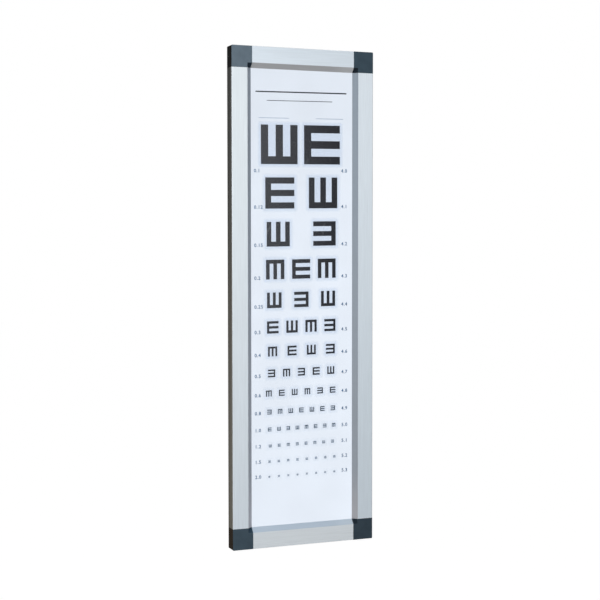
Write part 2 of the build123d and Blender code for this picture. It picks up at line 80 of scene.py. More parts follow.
class Side(Enum):
    """A side of the frame, named as its parts are."""

    LEFT = "left"
    RIGHT = "right"
    TOP = "top"
    BOTTOM = "bottom"

    @property
    def upright(self) -> bool:
        """True for the two long rails."""
        return self in (Side.LEFT, Side.RIGHT)

    @property
    def low_side(self) -> bool:
        """True where the rail's outer side has the lower coordinate."""
        return self in (Side.LEFT, Side.BOTTOM)


class Grain(Enum):
    """Direction of a drawn or rolled surface, as how far its marks stretch along x, y and z."""

    ALONG_X = (0.008, 1.0, 1.0)
    ALONG_Z = (1.0, 1.0, 0.008)

    @staticmethod
    def of(side: Side) -> "Grain":
        """Grain of the rail on one side."""
        return Grain.ALONG_Z if side.upright else Grain.ALONG_X


class Opens(Enum):
    """Side on which a symbol is open, as quarter turns from an open right side."""

    R = 0
    U = 1
    L = 2
    D = 3


class Graph:
    """A material's nodes, with short calls for those that the finishes share."""

    def __init__(self, name: str) -> None:
        """Starts a material with one Principled shader.

        Args:
            name: Name of the material.
        """
        self.material = bpy.data.materials.new(name)
        self.material.use_nodes = True
        self.tree = self.material.node_tree
        self.tree.nodes.clear()
        self.shader = self.add("ShaderNodeBsdfPrincipled")
        output = self.add("ShaderNodeOutputMaterial")
        self.tree.links.new(self.shader.outputs["BSDF"], output.inputs["Surface"])
        self.place = self.add("ShaderNodeTexCoord").outputs["Object"]

    def add(
        self, kind: str, settings: dict[str, Any] | None = None, **inputs: Any
    ) -> bpy.types.Node:
        """Adds a node.

        Args:
            kind: Blender's name of the node type.
            settings: Properties of the node.
            inputs: Values or sockets by input name, with underscores for spaces.

        Returns:
            The new node.
        """
        node = self.tree.nodes.new(kind)
        for key, value in (settings or {}).items():
            setattr(node, key, value)
        for key, value in inputs.items():
            self.feed(node.inputs[key.replace("_", " ")], value)
        return node

    def feed(self, socket: Socket, value: Any) -> None:
        """Links a socket to an input, or sets the input to a plain value.

        Args:
            socket: The input.
            value: Socket, number, colour or vector to feed it with.
        """
        if isinstance(value, bpy.types.NodeSocket):
            self.tree.links.new(value, socket)
        elif isinstance(value, tuple) and len(value) == 3 and socket.type == "RGBA":
            socket.default_value = (*value, 1.0)
        else:
            socket.default_value = value

    def set(self, **inputs: Any) -> None:
        """Feeds inputs of the Principled shader, with underscores for spaces."""
        for key, value in inputs.items():
            self.feed(self.shader.inputs[key.replace("_", " ")], value)

    def axis(self, index: int) -> Socket:
        """One Object coordinate: 0 for x, 1 for y, 2 for z."""
        return self.add("ShaderNodeSeparateXYZ", Vector=self.place).outputs[index]

    def math(self, operation: str, first: Any, second: Any = 0.0) -> Socket:
        """Result of one Math node.

        Args:
            operation: Blender's name of the operation.
            first: Number or socket.
            second: Number or socket.

        Returns:
            Socket of the result.
        """
        node = self.add("ShaderNodeMath", {"operation": operation})
        self.feed(node.inputs[0], first)
        self.feed(node.inputs[1], second)
        return node.outputs[0]

    def span(
        self, value: Socket, start: float, end: float, low: float = 0.0, high: float = 1.0
    ) -> Socket:
        """Smooth step of a value.

        Args:
            value: Socket to read.
            start: Value at which the result is low.
            end: Value at which the result is high.
            low: Result before start.
            high: Result after end.

        Returns:
            Socket of the result.
        """
        settings = {"interpolation_type": "SMOOTHSTEP"}
        node = self.add("ShaderNodeMapRange", settings, Value=value)
        node.inputs["From Min"].default_value = start
        node.inputs["From Max"].default_value = end
        node.inputs["To Min"].default_value = low
        node.inputs["To Max"].default_value = high
        return node.outputs["Result"]

    def down_the_frame(self) -> Socket:
        """0 at the top of the frame, 1 at its bottom."""
        return self.span(self.axis(2), CAD_BOX[1].z, CAD_BOX[0].z)

    def marks(
        self, size: float, stretch: Sequence[float] = (1.0, 1.0, 1.0), detail: float = 2.0
    ) -> Socket:
        """Noise whose marks have a real size.

        Args:
            size: Width of a mark.
            stretch: Share of the frequency that is kept along x, y and z.
            detail: Octaves of finer noise.

        Returns:
            Socket of the noise, about 0.5 on average.
        """
        mapped = self.add("ShaderNodeMapping", Vector=self.place)
        mapped.inputs["Scale"].default_value = [share / size for share in stretch]
        noise = self.add("ShaderNodeTexNoise", Vector=mapped.outputs[0], Scale=1.0, Detail=detail)
        return noise.outputs["Fac"]

    def grey(self, level: Socket) -> Socket:
        """Grey of one level."""
        return self.add("ShaderNodeCombineColor", Red=level, Green=level, Blue=level).outputs[0]

    def distance(self, across: Socket, up: Socket) -> Socket:
        """Length of a flat vector."""
        flat = self.add("ShaderNodeCombineXYZ", X=across, Y=up).outputs[0]
        return self.add("ShaderNodeVectorMath", {"operation": "LENGTH"}, Vector=flat).outputs["Value"]

    def blend(self, share: Any, first: Any, second: Any, mode: str = "MIX") -> Socket:
        """Mix of two colours.

        Args:
            share: Share of the second colour.
            first: Colour or socket.
            second: Colour or socket.
            mode: Blender's blend type.

        Returns:
            Socket of the mixed colour.
        """
        node = self.add("ShaderNodeMix", {"data_type": "RGBA", "blend_type": mode})
        self.feed(node.inputs[0], share)
        self.feed(node.inputs[6], first)
        self.feed(node.inputs[7], second)
        return node.outputs[2]

    def relief(self, height: Socket, depth: float, strength: float = 1.0) -> None:
        """Gives the shader a bump of a real depth."""
        bump = self.add("ShaderNodeBump", Height=height, Distance=depth, Strength=strength)
        self.feed(self.shader.inputs["Normal"], bump.outputs["Normal"])


def dim(colour: Colour, share: float) -> Colour:
    """A colour at a share of its brightness."""
    return tuple(channel * share for channel in colour)


@dataclass(frozen=True)
class Finish:
    """Base of all finishes: a name, a colour and how far tone and gloss wander.

    Attributes:
        name: Name of the material, before "_finish".
        colour: Linear base colour.
        drift: Share by which the tone wanders over the surface.
        rough: Roughness.
        rough_drift: How far the roughness wanders down and up.
        rough_range: Values of a noise between which it does so.
    """

    name: str
    colour: Colour
    drift: float = 0.06
    rough: float = 0.5
    rough_drift: tuple[float, float] = (-0.05, 0.05)
    rough_range: tuple[float, float] = NOISE_RANGE

    def material(self) -> bpy.types.Material:
        """Material of this finish.

        Returns:
            The material, made at the first call.
        """
        name = self.name + "_finish"
        found = bpy.data.materials.get(name)
        if found:
            return found
        graph = Graph(name)
        self.dress(graph)
        return graph.material

    def dress(self, graph: Graph) -> None:
        """Fills in the shader."""
        raise NotImplementedError

    def toned(self, graph: Graph, colour: Any, mark: Socket, drift: float | None = None) -> Socket:
        """A colour that wanders with a noise.

        Args:
            graph: Nodes of the material.
            colour: Colour or socket.
            mark: The noise.
            drift: Share by which it wanders, or None for the finish's own.

        Returns:
            Socket of the colour.
        """
        drift = self.drift if drift is None else drift
        shade = graph.span(mark, *NOISE_RANGE, 1.0 - drift, 1.0 + drift)
        return graph.blend(1.0, colour, graph.grey(shade), "MULTIPLY")

    def roughened(self, graph: Graph, mark: Socket) -> Socket:
        """Roughness that wanders with a noise."""
        return graph.span(mark, *self.rough_range, *(self.rough + part for part in self.rough_drift))


@dataclass(frozen=True)
class DrawnMetal(Finish):
    """Metal with drawing, rolling or brushing marks along one direction.

    Attributes:
        grain: Direction of the marks.
        line: Width of the fine marks.
        depth: Depth of the fine marks.
        metallic: Share of bare metal.
        gloss: Specular level.
        hairline: Share by which the fine marks change the tone.
        streak: Width of the broad streaks, in fine marks.
        rough_drift: How far the roughness wanders down and up.
        rough_range: Values of the fine marks' noise between which it does so.
    """

    rough_drift: tuple[float, float] = (-0.06, 0.08)
    rough_range: tuple[float, float] = (0.25, 0.75)
    grain: Grain = Grain.ALONG_Z
    line: float = 0.35 * MM
    depth: float = 0.012 * MM
    metallic: float = 1.0
    gloss: float = 0.5
    hairline: float = 0.05
    streak: float = 7.0

    def dress(self, graph: Graph) -> None:
        """Fine lines in gloss and relief, broad streaks in tone.

        Args:
            graph: Nodes of the material.
        """
        fine = graph.marks(self.line, self.grain.value, 3.0)
        broad = graph.marks(self.streak * self.line, self.grain.value, 2.0)
        lined = self.toned(graph, self.tint(graph), broad)
        graph.set(
            Base_Color=self.toned(graph, lined, fine, self.hairline),
            Metallic=self.metallic,
            Roughness=self.roughened(graph, fine),
            Specular_IOR_Level=self.gloss,
        )
        graph.relief(fine, self.depth)

    def tint(self, graph: Graph) -> Any:
        """Colour before the streaks."""
        return self.colour


@dataclass(frozen=True, kw_only=True)
class CoverMetal(DrawnMetal):
    """Brushed and anodised cover: pale flat front, greyer lip, dark skirt on its outer side. The lip's
    grey and the skirt's dark are painted shade, the lip's blue and its paler foot are painted
    reflection of the lit chart, and the tones that change down the frame are painted light and shade.

    Attributes:
        across: Axis across the rail: 0 for x, 2 for z.
        outer: Coordinate of the rail's outer side along that axis.
        inwards: 1 where the coordinate grows towards the chart, or -1.
        front: Coordinate y of the front plane.
        flat: Width of the flat front.
        low: Colour of the flat front at the frame's bottom; its change from the top is painted light
            and shade.
        lip: Colour of the bevelled lip, painted shade and painted reflection.
        lip_low: Colour of the lip at the frame's bottom, painted shade and painted reflection.
        lip_foot: Colour of the lip's last stretch, painted reflection of the lit chart.
        foot: Coordinate along the rail at which that stretch ends.
        foot_reach: Length of the stretch, negative where it lies before its end.
        lip_blur: Distance from the lip's start over which its tone sets in.
        edge: Share of brightness that the outermost edge keeps, a painted shade line.
        edge_width: Width of that edge.
        edge_blur: Share of that width over which the edge's tone fades.
        skirt: Colour of the outer side, dark as painted shade.
        skirt_low: Colour of the outer side at the frame's bottom, paler as painted light.
        skirt_reach: Distances from the outer side between which the skirt's tone ends.
        skirt_drop: Depths between which the skirt's tone sets in.
    """

    across: int
    outer: float
    inwards: int
    front: float
    flat: float
    low: Colour
    lip: Colour
    lip_low: Colour
    lip_foot: Colour
    foot: float
    foot_reach: float
    lip_blur: float = 0.1 * MM
    edge: float
    edge_width: float = 1.0 * MM
    edge_blur: float = 0.2
    skirt: Colour
    skirt_low: Colour
    skirt_reach: tuple[float, float] = (0.5 * MM, 0.1 * MM)
    skirt_drop: tuple[float, float] = (0.2 * MM, 0.7 * MM)

    def tint(self, graph: Graph) -> Socket:
        """Flat front, lip and skirt, told apart by where they lie on the section, each with its
        painted light and shade.

        Args:
            graph: Nodes of the material.

        Returns:
            Socket of the colour.
        """
        reach = graph.math("SUBTRACT", graph.axis(self.across), self.outer)
        reach = graph.math("MULTIPLY", reach, self.inwards)
        depth = graph.math("SUBTRACT", graph.axis(1), self.front)
        on_lip = graph.span(reach, self.flat - self.lip_blur, self.flat + self.lip_blur)
        near_side = graph.span(reach, *self.skirt_reach)
        on_skirt = graph.math("MULTIPLY", near_side, graph.span(depth, *self.skirt_drop))
        # Painted light and shade: each tone blends from its top colour to its bottom colour down the
        # frame.
        down = graph.down_the_frame()
        fade = self.edge_width * self.edge_blur
        on_edge = graph.span(reach, self.edge_width + fade, self.edge_width - fade)
        # Painted shade: a dark line along the outermost edge of the flat front.
        edge_shade = graph.blend(down, dim(self.colour, self.edge), dim(self.low, self.edge))
        flat = graph.blend(on_edge, graph.blend(down, self.colour, self.low), edge_shade)
        # Painted reflection: the lip's last stretch is paler.
        on_foot = graph.span(graph.axis(2 - self.across), self.foot + self.foot_reach, self.foot)
        lip = graph.blend(on_foot, graph.blend(down, self.lip, self.lip_low), self.lip_foot)
        pale = graph.blend(on_lip, flat, lip)
        # Painted shade: the outer side takes the dark skirt colour.
        return graph.blend(on_skirt, pale, graph.blend(down, self.skirt, self.skirt_low))


@dataclass(frozen=True, kw_only=True)
class BaseMetal(DrawnMetal):
    """Anodised base extrusion, dark as painted shade, with a paler stripe along the middle of its
    outer side.

    Attributes:
        low: Colour at the frame's bottom, paler as painted light.
        front: Coordinate y of the front plane.
        stripe: Depth of the stripe behind the front plane.
        stripe_width: Distance from the stripe's middle at which it has faded out.
        stripe_gain: Brightness of the stripe's middle against the rest.
    """

    low: Colour
    front: float
    stripe: float = 14 * MM
    stripe_width: float = 7 * MM
    stripe_gain: float = 1.35

    def tint(self, graph: Graph) -> Socket:
        """Paler stripe along the middle of the outer side, on tones that grow paler down the frame as
        painted light.

        Args:
            graph: Nodes of the material.

        Returns:
            Socket of the colour.
        """
        depth = graph.math("SUBTRACT", graph.axis(1), self.front + self.stripe)
        near = graph.span(graph.math("ABSOLUTE", depth), self.stripe_width, 0.0)
        # Painted light: the base grows paler towards the bottom of the frame.
        down = graph.down_the_frame()
        plain = graph.blend(down, self.colour, self.low)
        ends = (dim(end, self.stripe_gain) for end in (self.colour, self.low))
        return graph.blend(near, plain, graph.blend(down, *ends))


@dataclass(frozen=True)
class Moulded(Finish):
    """Moulded plastic or rubber with an eroded texture.

    Attributes:
        texture: Size of a grain of the texture.
        depth: Depth of the texture.
        gloss: Specular level.
        speckle: Share by which the texture changes the tone.
        flow: Size of a flow mark, in grains.
        rough_drift: How far the roughness wanders down and up.
    """

    rough_drift: tuple[float, float] = (-0.04, 0.05)
    texture: float = 0.5 * MM
    depth: float = 0.06 * MM
    gloss: float = 0.5
    speckle: float = 0.07
    flow: float = 30.0

    def dress(self, graph: Graph) -> None:
        """Fine eroded texture, slow flow marks in tone and gloss.

        Args:
            graph: Nodes of the material.
        """
        grain = graph.marks(self.texture, detail=3.0)
        flow = graph.marks(self.flow * self.texture, detail=2.0)
        flowed = self.toned(graph, self.tint(graph), flow)
        graph.set(
            Base_Color=self.toned(graph, flowed, grain, self.speckle),
            Roughness=self.roughened(graph, flow),
            Specular_IOR_Level=self.gloss,
        )
        graph.relief(grain, self.depth)

    def tint(self, graph: Graph) -> Any:
        """Colour before the flow marks."""
        return self.colour


@dataclass(frozen=True, kw_only=True)
class CornerPlastic(Moulded):
    """Slate-grey corner block, whose front plane alone carries the block's painted highlight and
    shade.

    Attributes:
        front: Coordinate y of the front plane.
        middle: Coordinate z of the frame's middle.
        bevel_from: Distances from the frame's middle, across and up, that hold the inner bevel.
        bevel_drop: Depth that holds the bevel.
        bevel_blur: Distance over which the bevel's tone fades out.
        bevel: Colour of the bevel at the inner corner, dark as painted shade.
        shade: Colour of the sides and inner walls, painted shade.
        front_drop: Depths between which the front's tone ends.
    """

    front: float
    middle: float
    bevel_from: tuple[float, float]
    bevel_drop: float = 11 * MM
    bevel_blur: float = 0.5 * MM
    bevel: Colour
    shade: Colour
    front_drop: tuple[float, float] = (0.15 * MM, 0.6 * MM)

    def tint(self, graph: Graph) -> Socket:
        """Front with its painted light, and painted shade on the bevel and the walls behind it.

        Args:
            graph: Nodes of the material.

        Returns:
            Socket of the colour.
        """
        depth = graph.math("SUBTRACT", graph.axis(1), self.front)
        rise = graph.math("SUBTRACT", graph.axis(2), self.middle)
        inner = graph.span(depth, self.bevel_drop + self.bevel_blur, self.bevel_drop)
        for offset, limit in zip((graph.axis(0), rise), self.bevel_from):
            within = graph.span(graph.math("ABSOLUTE", offset), limit + self.bevel_blur, limit)
            inner = graph.math("MULTIPLY", inner, within)
        # Painted shade on the bevel, the sides and the inner walls.
        behind = graph.blend(inner, self.shade, self.bevel)
        return graph.blend(graph.span(depth, *self.front_drop), self.colour, behind)


@dataclass(frozen=True)
class Smear:
    """A faint wiping mark on the clear sheet.

    Attributes:
        x: Coordinate x of its middle.
        z: Coordinate z of its middle.
        length: Half its length.
        width: Half its width.
        lean: Turn from upright, in degrees, towards the right.
    """

    x: float
    z: float
    length: float
    width: float
    lean: float


@dataclass(frozen=True, kw_only=True)
class ClearSheet(Finish):
    """Clear sheet: almost nothing but a thin haze, which is painted reflection, and a few wiping
    marks.

    Attributes:
        half_width: Half the width of the sheet.
        haze: Opacity of the sheet at its left side, where the painted reflection is strongest.
        right_haze: Opacity at its right side, where the painted reflection is weakest.
        smears: Wiping marks.
        smear_haze: Opacity that the middle of a wiping mark adds.
        cloud: Size of the clouds in its tone.
    """

    half_width: float
    haze: float = 0.068
    right_haze: float = 0.010
    smears: tuple[Smear, ...]
    smear_haze: float = 0.08
    cloud: float = 60 * MM

    def dress(self, graph: Graph) -> None:
        """Painted reflection as a haze that thins towards the right, with the wiping marks added.

        Args:
            graph: Nodes of the material.
        """
        cloud = graph.marks(self.cloud)
        sides = (-self.half_width, self.half_width)
        # Painted reflection: the sheet's opacity falls from its left side to its right.
        alpha = graph.span(graph.axis(0), *sides, self.haze, self.right_haze)
        for smear in self.smears:
            alpha = graph.math("ADD", alpha, self.mark(graph, smear))
        graph.set(
            Base_Color=self.toned(graph, self.colour, cloud),
            Roughness=self.rough,
            Alpha=alpha,
        )

    def mark(self, graph: Graph, smear: Smear) -> Socket:
        """Opacity of one wiping mark, which fades out towards its rim.

        Args:
            graph: Nodes of the material.
            smear: The mark.

        Returns:
            Socket of the opacity.
        """
        mapped = graph.add("ShaderNodeMapping", {"vector_type": "TEXTURE"}, Vector=graph.place)
        mapped.inputs["Location"].default_value = (smear.x, 0.0, smear.z)
        mapped.inputs["Rotation"].default_value = (0.0, math.radians(smear.lean), 0.0)
        mapped.inputs["Scale"].default_value = (smear.width, 1.0, smear.length)
        part = graph.add("ShaderNodeSeparateXYZ", Vector=mapped.outputs[0]).outputs
        return graph.span(graph.distance(part[0], part[2]), 1.0, 0.0, 0.0, self.smear_haze)


@dataclass(frozen=True, kw_only=True)
class LitSheet(Finish):
    """Translucent sheet that glows, a little more beside the light strips.

    Attributes:
        glow: Colour of the light.
        strength: Strength of the light.
        half_width: Half the width of the sheet.
        rim: Width of the brighter band at each side.
        rim_gain: Share of light that the band adds.
        head: Coordinate z of the sheet's top, where it is dimmer.
        head_loss: Share of light lost there.
        head_reach: How far down the loss reaches.
        cloud: Size of the clouds in tone and light.
        grain: Size of the marks of the matt face.
        grain_depth: Depth of those marks.
    """

    glow: Colour = (1.0, 1.0, 1.0)
    strength: float = 0.4
    half_width: float
    rim: float = 16 * MM
    rim_gain: float = 0.08
    head: float
    head_loss: float = 0.06
    head_reach: float = 0.35
    cloud: float = 90 * MM
    grain: float = 0.3 * MM
    grain_depth: float = 0.004 * MM

    def dress(self, graph: Graph) -> None:
        """Soft clouding of the diffused light, brighter along both sides.

        Args:
            graph: Nodes of the material.
        """
        cloud = graph.marks(self.cloud, detail=1.0)
        aside = graph.math("ABSOLUTE", graph.axis(0))
        band = (self.half_width - self.rim, self.half_width)
        rim = graph.span(aside, *band, 1.0, 1.0 + self.rim_gain)
        drift = graph.span(cloud, *NOISE_RANGE, 1.0 - self.drift, 1.0 + self.drift)
        top = (self.head - self.head_reach, self.head)
        dimmed = graph.span(graph.axis(2), *top, 1.0, 1.0 - self.head_loss)
        level = graph.math("MULTIPLY", graph.math("MULTIPLY", rim, drift), dimmed)
        graph.set(
            Base_Color=self.toned(graph, self.colour, cloud),
            Roughness=self.rough,
            Emission_Color=graph.blend(1.0, self.glow, graph.grey(level), "MULTIPLY"),
            Emission_Strength=self.strength,
        )
        graph.relief(graph.marks(self.grain), self.grain_depth)


@dataclass(frozen=True)
class DottedSheet(Finish):
    """Clear or white sheet with an even screen of small dots.

    Attributes:
        dot: Colour of a dot.
        pitch: Distance between dots.
        dot_size: Diameter of a dot.
        dot_blur: Share of a dot's radius over which its rim fades.
        dot_rough: Roughness of a dot.
        alpha: Opacity.
        cloud: Size of the clouds in its tone.
    """

    dot: Colour = (1.0, 1.0, 1.0)
    pitch: float = 3 * MM
    dot_size: float = 1.2 * MM
    dot_blur: float = 0.1
    dot_rough: float = 0.7
    alpha: float = 1.0
    cloud: float = 25 * MM

    def dress(self, graph: Graph) -> None:
        """Dots on a square screen over the sheet.

        Args:
            graph: Nodes of the material.
        """
        screen = []
        for index in (0, 2):
            turns = graph.math("FRACT", graph.math("DIVIDE", graph.axis(index), self.pitch))
            screen.append(graph.math("MULTIPLY", graph.math("SUBTRACT", turns, 0.5), self.pitch))
        radius = self.dot_size / 2
        rim = (radius * (1 + self.dot_blur), radius * (1 - self.dot_blur))
        on_dot = graph.span(graph.distance(*screen), *rim)
        tint = graph.blend(on_dot, self.colour, self.dot)
        graph.set(
            Base_Color=self.toned(graph, tint, graph.marks(self.cloud)),
            Roughness=graph.span(on_dot, 0.0, 1.0, self.rough, self.dot_rough),
            Alpha=self.alpha,
        )


@dataclass(frozen=True, kw_only=True)
class StripBoard(Finish):
    """White circuit strip with a tinned trace along each edge and pads at the emitters' pitch.

    Attributes:
        pitch: Distance between emitters.
        middle: Coordinate y of the strip's middle line.
        centre: Coordinate z of the strip's middle, where an emitter sits.
        trace: Colour of tinned copper.
        trace_rough: Roughness of tinned copper.
        trace_from: Distance of a trace's inner edge from the middle line.
        trace_to: Distance of its outer edge.
        trace_blur: Distance over which its edges fade.
        pad: Half the length of a pad, as a share of the pitch.
        pad_blur: Share of the pitch over which its ends fade, either way.
        cloud: Size of the clouds in its tone.
    """

    pitch: float = 25 * MM
    middle: float
    centre: float
    trace: Colour = (0.62, 0.60, 0.55)
    trace_rough: float = 0.3
    trace_from: float = 1.8 * MM
    trace_to: float = 2.1 * MM
    trace_blur: float = 0.05 * MM
    pad: float = 0.15
    pad_blur: float = 0.01
    cloud: float = 4 * MM

    def dress(self, graph: Graph) -> None:
        """Traces beside the middle line, and pads across it.

        Args:
            graph: Nodes of the material.
        """
        aside = graph.math("ABSOLUTE", graph.math("SUBTRACT", graph.axis(1), self.middle))
        outside = graph.span(aside, self.trace_from - self.trace_blur, self.trace_from)
        inside = graph.span(aside, self.trace_to + self.trace_blur, self.trace_to)
        on_trace = graph.math("MULTIPLY", outside, inside)
        steps = graph.math("DIVIDE", graph.math("SUBTRACT", graph.axis(2), self.centre), self.pitch)
        along = graph.math("FRACT", graph.math("ADD", steps, 0.5))
        off_centre = graph.math("ABSOLUTE", graph.math("SUBTRACT", along, 0.5))
        on_pad = graph.span(off_centre, self.pad + self.pad_blur, self.pad - self.pad_blur)
        across = graph.span(aside, self.trace_to, self.trace_to - 2 * self.trace_blur)
        bare = graph.math("MAXIMUM", on_trace, graph.math("MULTIPLY", on_pad, across))
        tint = graph.blend(bare, self.colour, self.trace)
        graph.set(
            Base_Color=self.toned(graph, tint, graph.marks(self.cloud)),
            Roughness=graph.span(bare, 0.0, 1.0, self.rough, self.trace_rough),
            Metallic=bare,
        )


@dataclass(frozen=True, kw_only=True)
class Phosphor(Finish):
    """Yellow phosphor in a white case, lit.

    Attributes:
        case: Colour of the case.
        case_glow: Light that the case gives off.
        glow: Light that the phosphor gives off.
        middle: Coordinate y of the row's middle line.
        window: Distances from that line between which the phosphor ends.
        strength: Strength of the light.
        grain: Size of the phosphor's grains.
        grain_depth: Depth of its surface.
    """

    case: Colour = (0.85, 0.86, 0.84)
    case_glow: Colour = (0.4, 0.4, 0.4)
    glow: Colour = (1.0, 0.97, 0.85)
    middle: float
    window: tuple[float, float] = (1.0 * MM, 0.9 * MM)
    strength: float = 0.8
    grain: float = 0.2 * MM
    grain_depth: float = 0.02 * MM

    def dress(self, graph: Graph) -> None:
        """Phosphor window inside the rim of the case.

        Args:
            graph: Nodes of the material.
        """
        aside = graph.math("ABSOLUTE", graph.math("SUBTRACT", graph.axis(1), self.middle))
        window = graph.span(aside, *self.window)
        grains = graph.marks(self.grain)
        tint = graph.blend(window, self.case, self.colour)
        graph.set(
            Base_Color=self.toned(graph, tint, grains),
            Roughness=self.rough,
            Emission_Color=graph.blend(window, self.case_glow, self.glow),
            Emission_Strength=self.strength,
        )
        graph.relief(grains, self.grain_depth)


@dataclass(frozen=True)
class Ink(Finish):
    """Printed ink, slightly mottled.

    Attributes:
        alpha: Opacity.
        gloss: Specular level.
        thin: Colour where the ink is thin, on the finest marks, or None for an even print.
        thin_from: Coordinate z at which the ink starts to thin.
        thin_to: Coordinate z, further down, at which it is thin.
        mottle: Size of the mottle.
        mottle_depth: Depth of the mottle.
    """

    alpha: float = 1.0
    gloss: float = 0.08
    thin: Colour | None = None
    thin_from: float = 0.0
    thin_to: float = 0.0
    mottle: float = 0.8 * MM
    mottle_depth: float = 0.003 * MM

    def dress(self, graph: Graph) -> None:
        """Mottle of the screen print.

        Args:
            graph: Nodes of the material.
        """
        mottle = graph.marks(self.mottle, detail=3.0)
        colour = self.colour
        if self.thin:
            thinned = graph.span(graph.axis(2), self.thin_from, self.thin_to)
            colour = graph.blend(thinned, colour, self.thin)
        graph.set(
            Base_Color=self.toned(graph, colour, mottle),
            Roughness=self.roughened(graph, mottle),
            Specular_IOR_Level=self.gloss,
            Alpha=self.alpha,
        )
        graph.relief(mottle, self.mottle_depth)


@dataclass(frozen=True)
class Halo(Finish):
    """Painted shade: dimmer film close to dark ink, which takes in the light that spreads in the film.

    The mesh's halo attribute holds how far out a point stands across and up, as shares of the
    reach at which the halo has faded out, and the halo's strength.

    Attributes:
        alpha: Opacity of each face beside the ink, at full strength.
        cloud: Size of the clouds in its tone.
    """

    alpha: float = 0.1
    cloud: float = 6 * MM

    def dress(self, graph: Graph) -> None:
        """Tint that fades out away from the ink.

        Args:
            graph: Nodes of the material.
        """
        held = graph.add("ShaderNodeAttribute", {"attribute_name": HALO}).outputs["Vector"]
        across, up, strength = graph.add("ShaderNodeSeparateXYZ", Vector=held).outputs
        fade = graph.span(graph.distance(across, up), 0.0, 1.0, self.alpha, 0.0)
        cloud = graph.marks(self.cloud, detail=1.0)
        graph.set(
            Base_Color=self.toned(graph, self.colour, cloud),
            Roughness=self.roughened(graph, cloud),
            Specular_IOR_Level=0.0,
            Alpha=graph.math("MULTIPLY", fade, strength),
        )


def dress_node(node: str, finish: Finish) -> None:
    """Puts a finish in every material slot of a CAD node.

    Args:
        node: Name of the node.
        finish: Its finish.
    """
    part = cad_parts[node]
    if not part.material_slots:
        part.data.materials.append(finish.material())
    for holder in part.material_slots:
        holder.material = finish.material()
    LOG.info("dressed %s in %s", node, finish.name)


def add_piece(name: str, shape: bmesh.types.BMesh, finish: Finish, body: str) -> bpy.types.Object:
    """Ends a new piece, which then rides on a body.

    Args:
        name: Name of the piece.
        shape: Its mesh, in place. It is freed.
        finish: Its finish.
        body: Name of the body.

    Returns:
        The piece.
    """
    mesh = bpy.data.meshes.new(name)
    shape.to_mesh(mesh)
    shape.free()
    mesh.materials.append(finish.material())
    piece = bpy.data.objects.new(name, mesh)
    bpy.context.scene.collection.objects.link(piece)
    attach(piece, body)
    LOG.info("made %s: %d faces", name, len(mesh.polygons))
    return piece


def faces_of(verts: Iterable[bmesh.types.BMVert]) -> list[bmesh.types.BMFace]:
    """Each face that holds one of the vertices, once."""
    return list(dict.fromkeys(face for vertex in verts for face in vertex.link_faces))


def separate_boxes(node: str) -> list[tuple[Vector, Vector]]:
    """Box of each separate solid of a CAD node.

    Args:
        node: Name of the node.

    Returns:
        Lowest and highest corner of each solid, in order of the lowest corners.
    """
    shape = bmesh.new()
    shape.from_mesh(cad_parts[node].data)
    bmesh.ops.remove_doubles(shape, verts=shape.verts, dist=WELD_DISTANCE)
    left = set(shape.verts)
    boxes = []
    while left:
        found, reached = [], [left.pop()]
        while reached:
            vertex = reached.pop()
            found.append(vertex.co.copy())
            fresh = {edge.other_vert(vertex) for edge in vertex.link_edges} & left
            left -= fresh
            reached.extend(fresh)
        low, high = ([pick(values) for values in zip(*found)] for pick in (min, max))
        boxes.append((Vector(low), Vector(high)))
    shape.free()
    return sorted(boxes, key=lambda box: tuple(box[0]))


@dataclass(frozen=True)
class RailTone:
    """Tones of one rail's cover, which hold painted light, shade and reflection.

    Attributes:
        side: Side of the frame.
        flat: Colour of the flat front, at the frame's top and at its bottom, as painted light and
            shade.
        lip: Colour of the bevelled lip, at the frame's top and at its bottom, as painted shade and
            painted reflection.
        foot: Colour of the lip's last stretch, at the lower or right end of the rail, as painted
            reflection of the lit chart.
        edge: Share of brightness that the outermost edge keeps, a painted shade line.
    """

    side: Side
    flat: tuple[Colour, Colour]
    lip: tuple[Colour, Colour]
    foot: Colour
    edge: float = 1.0


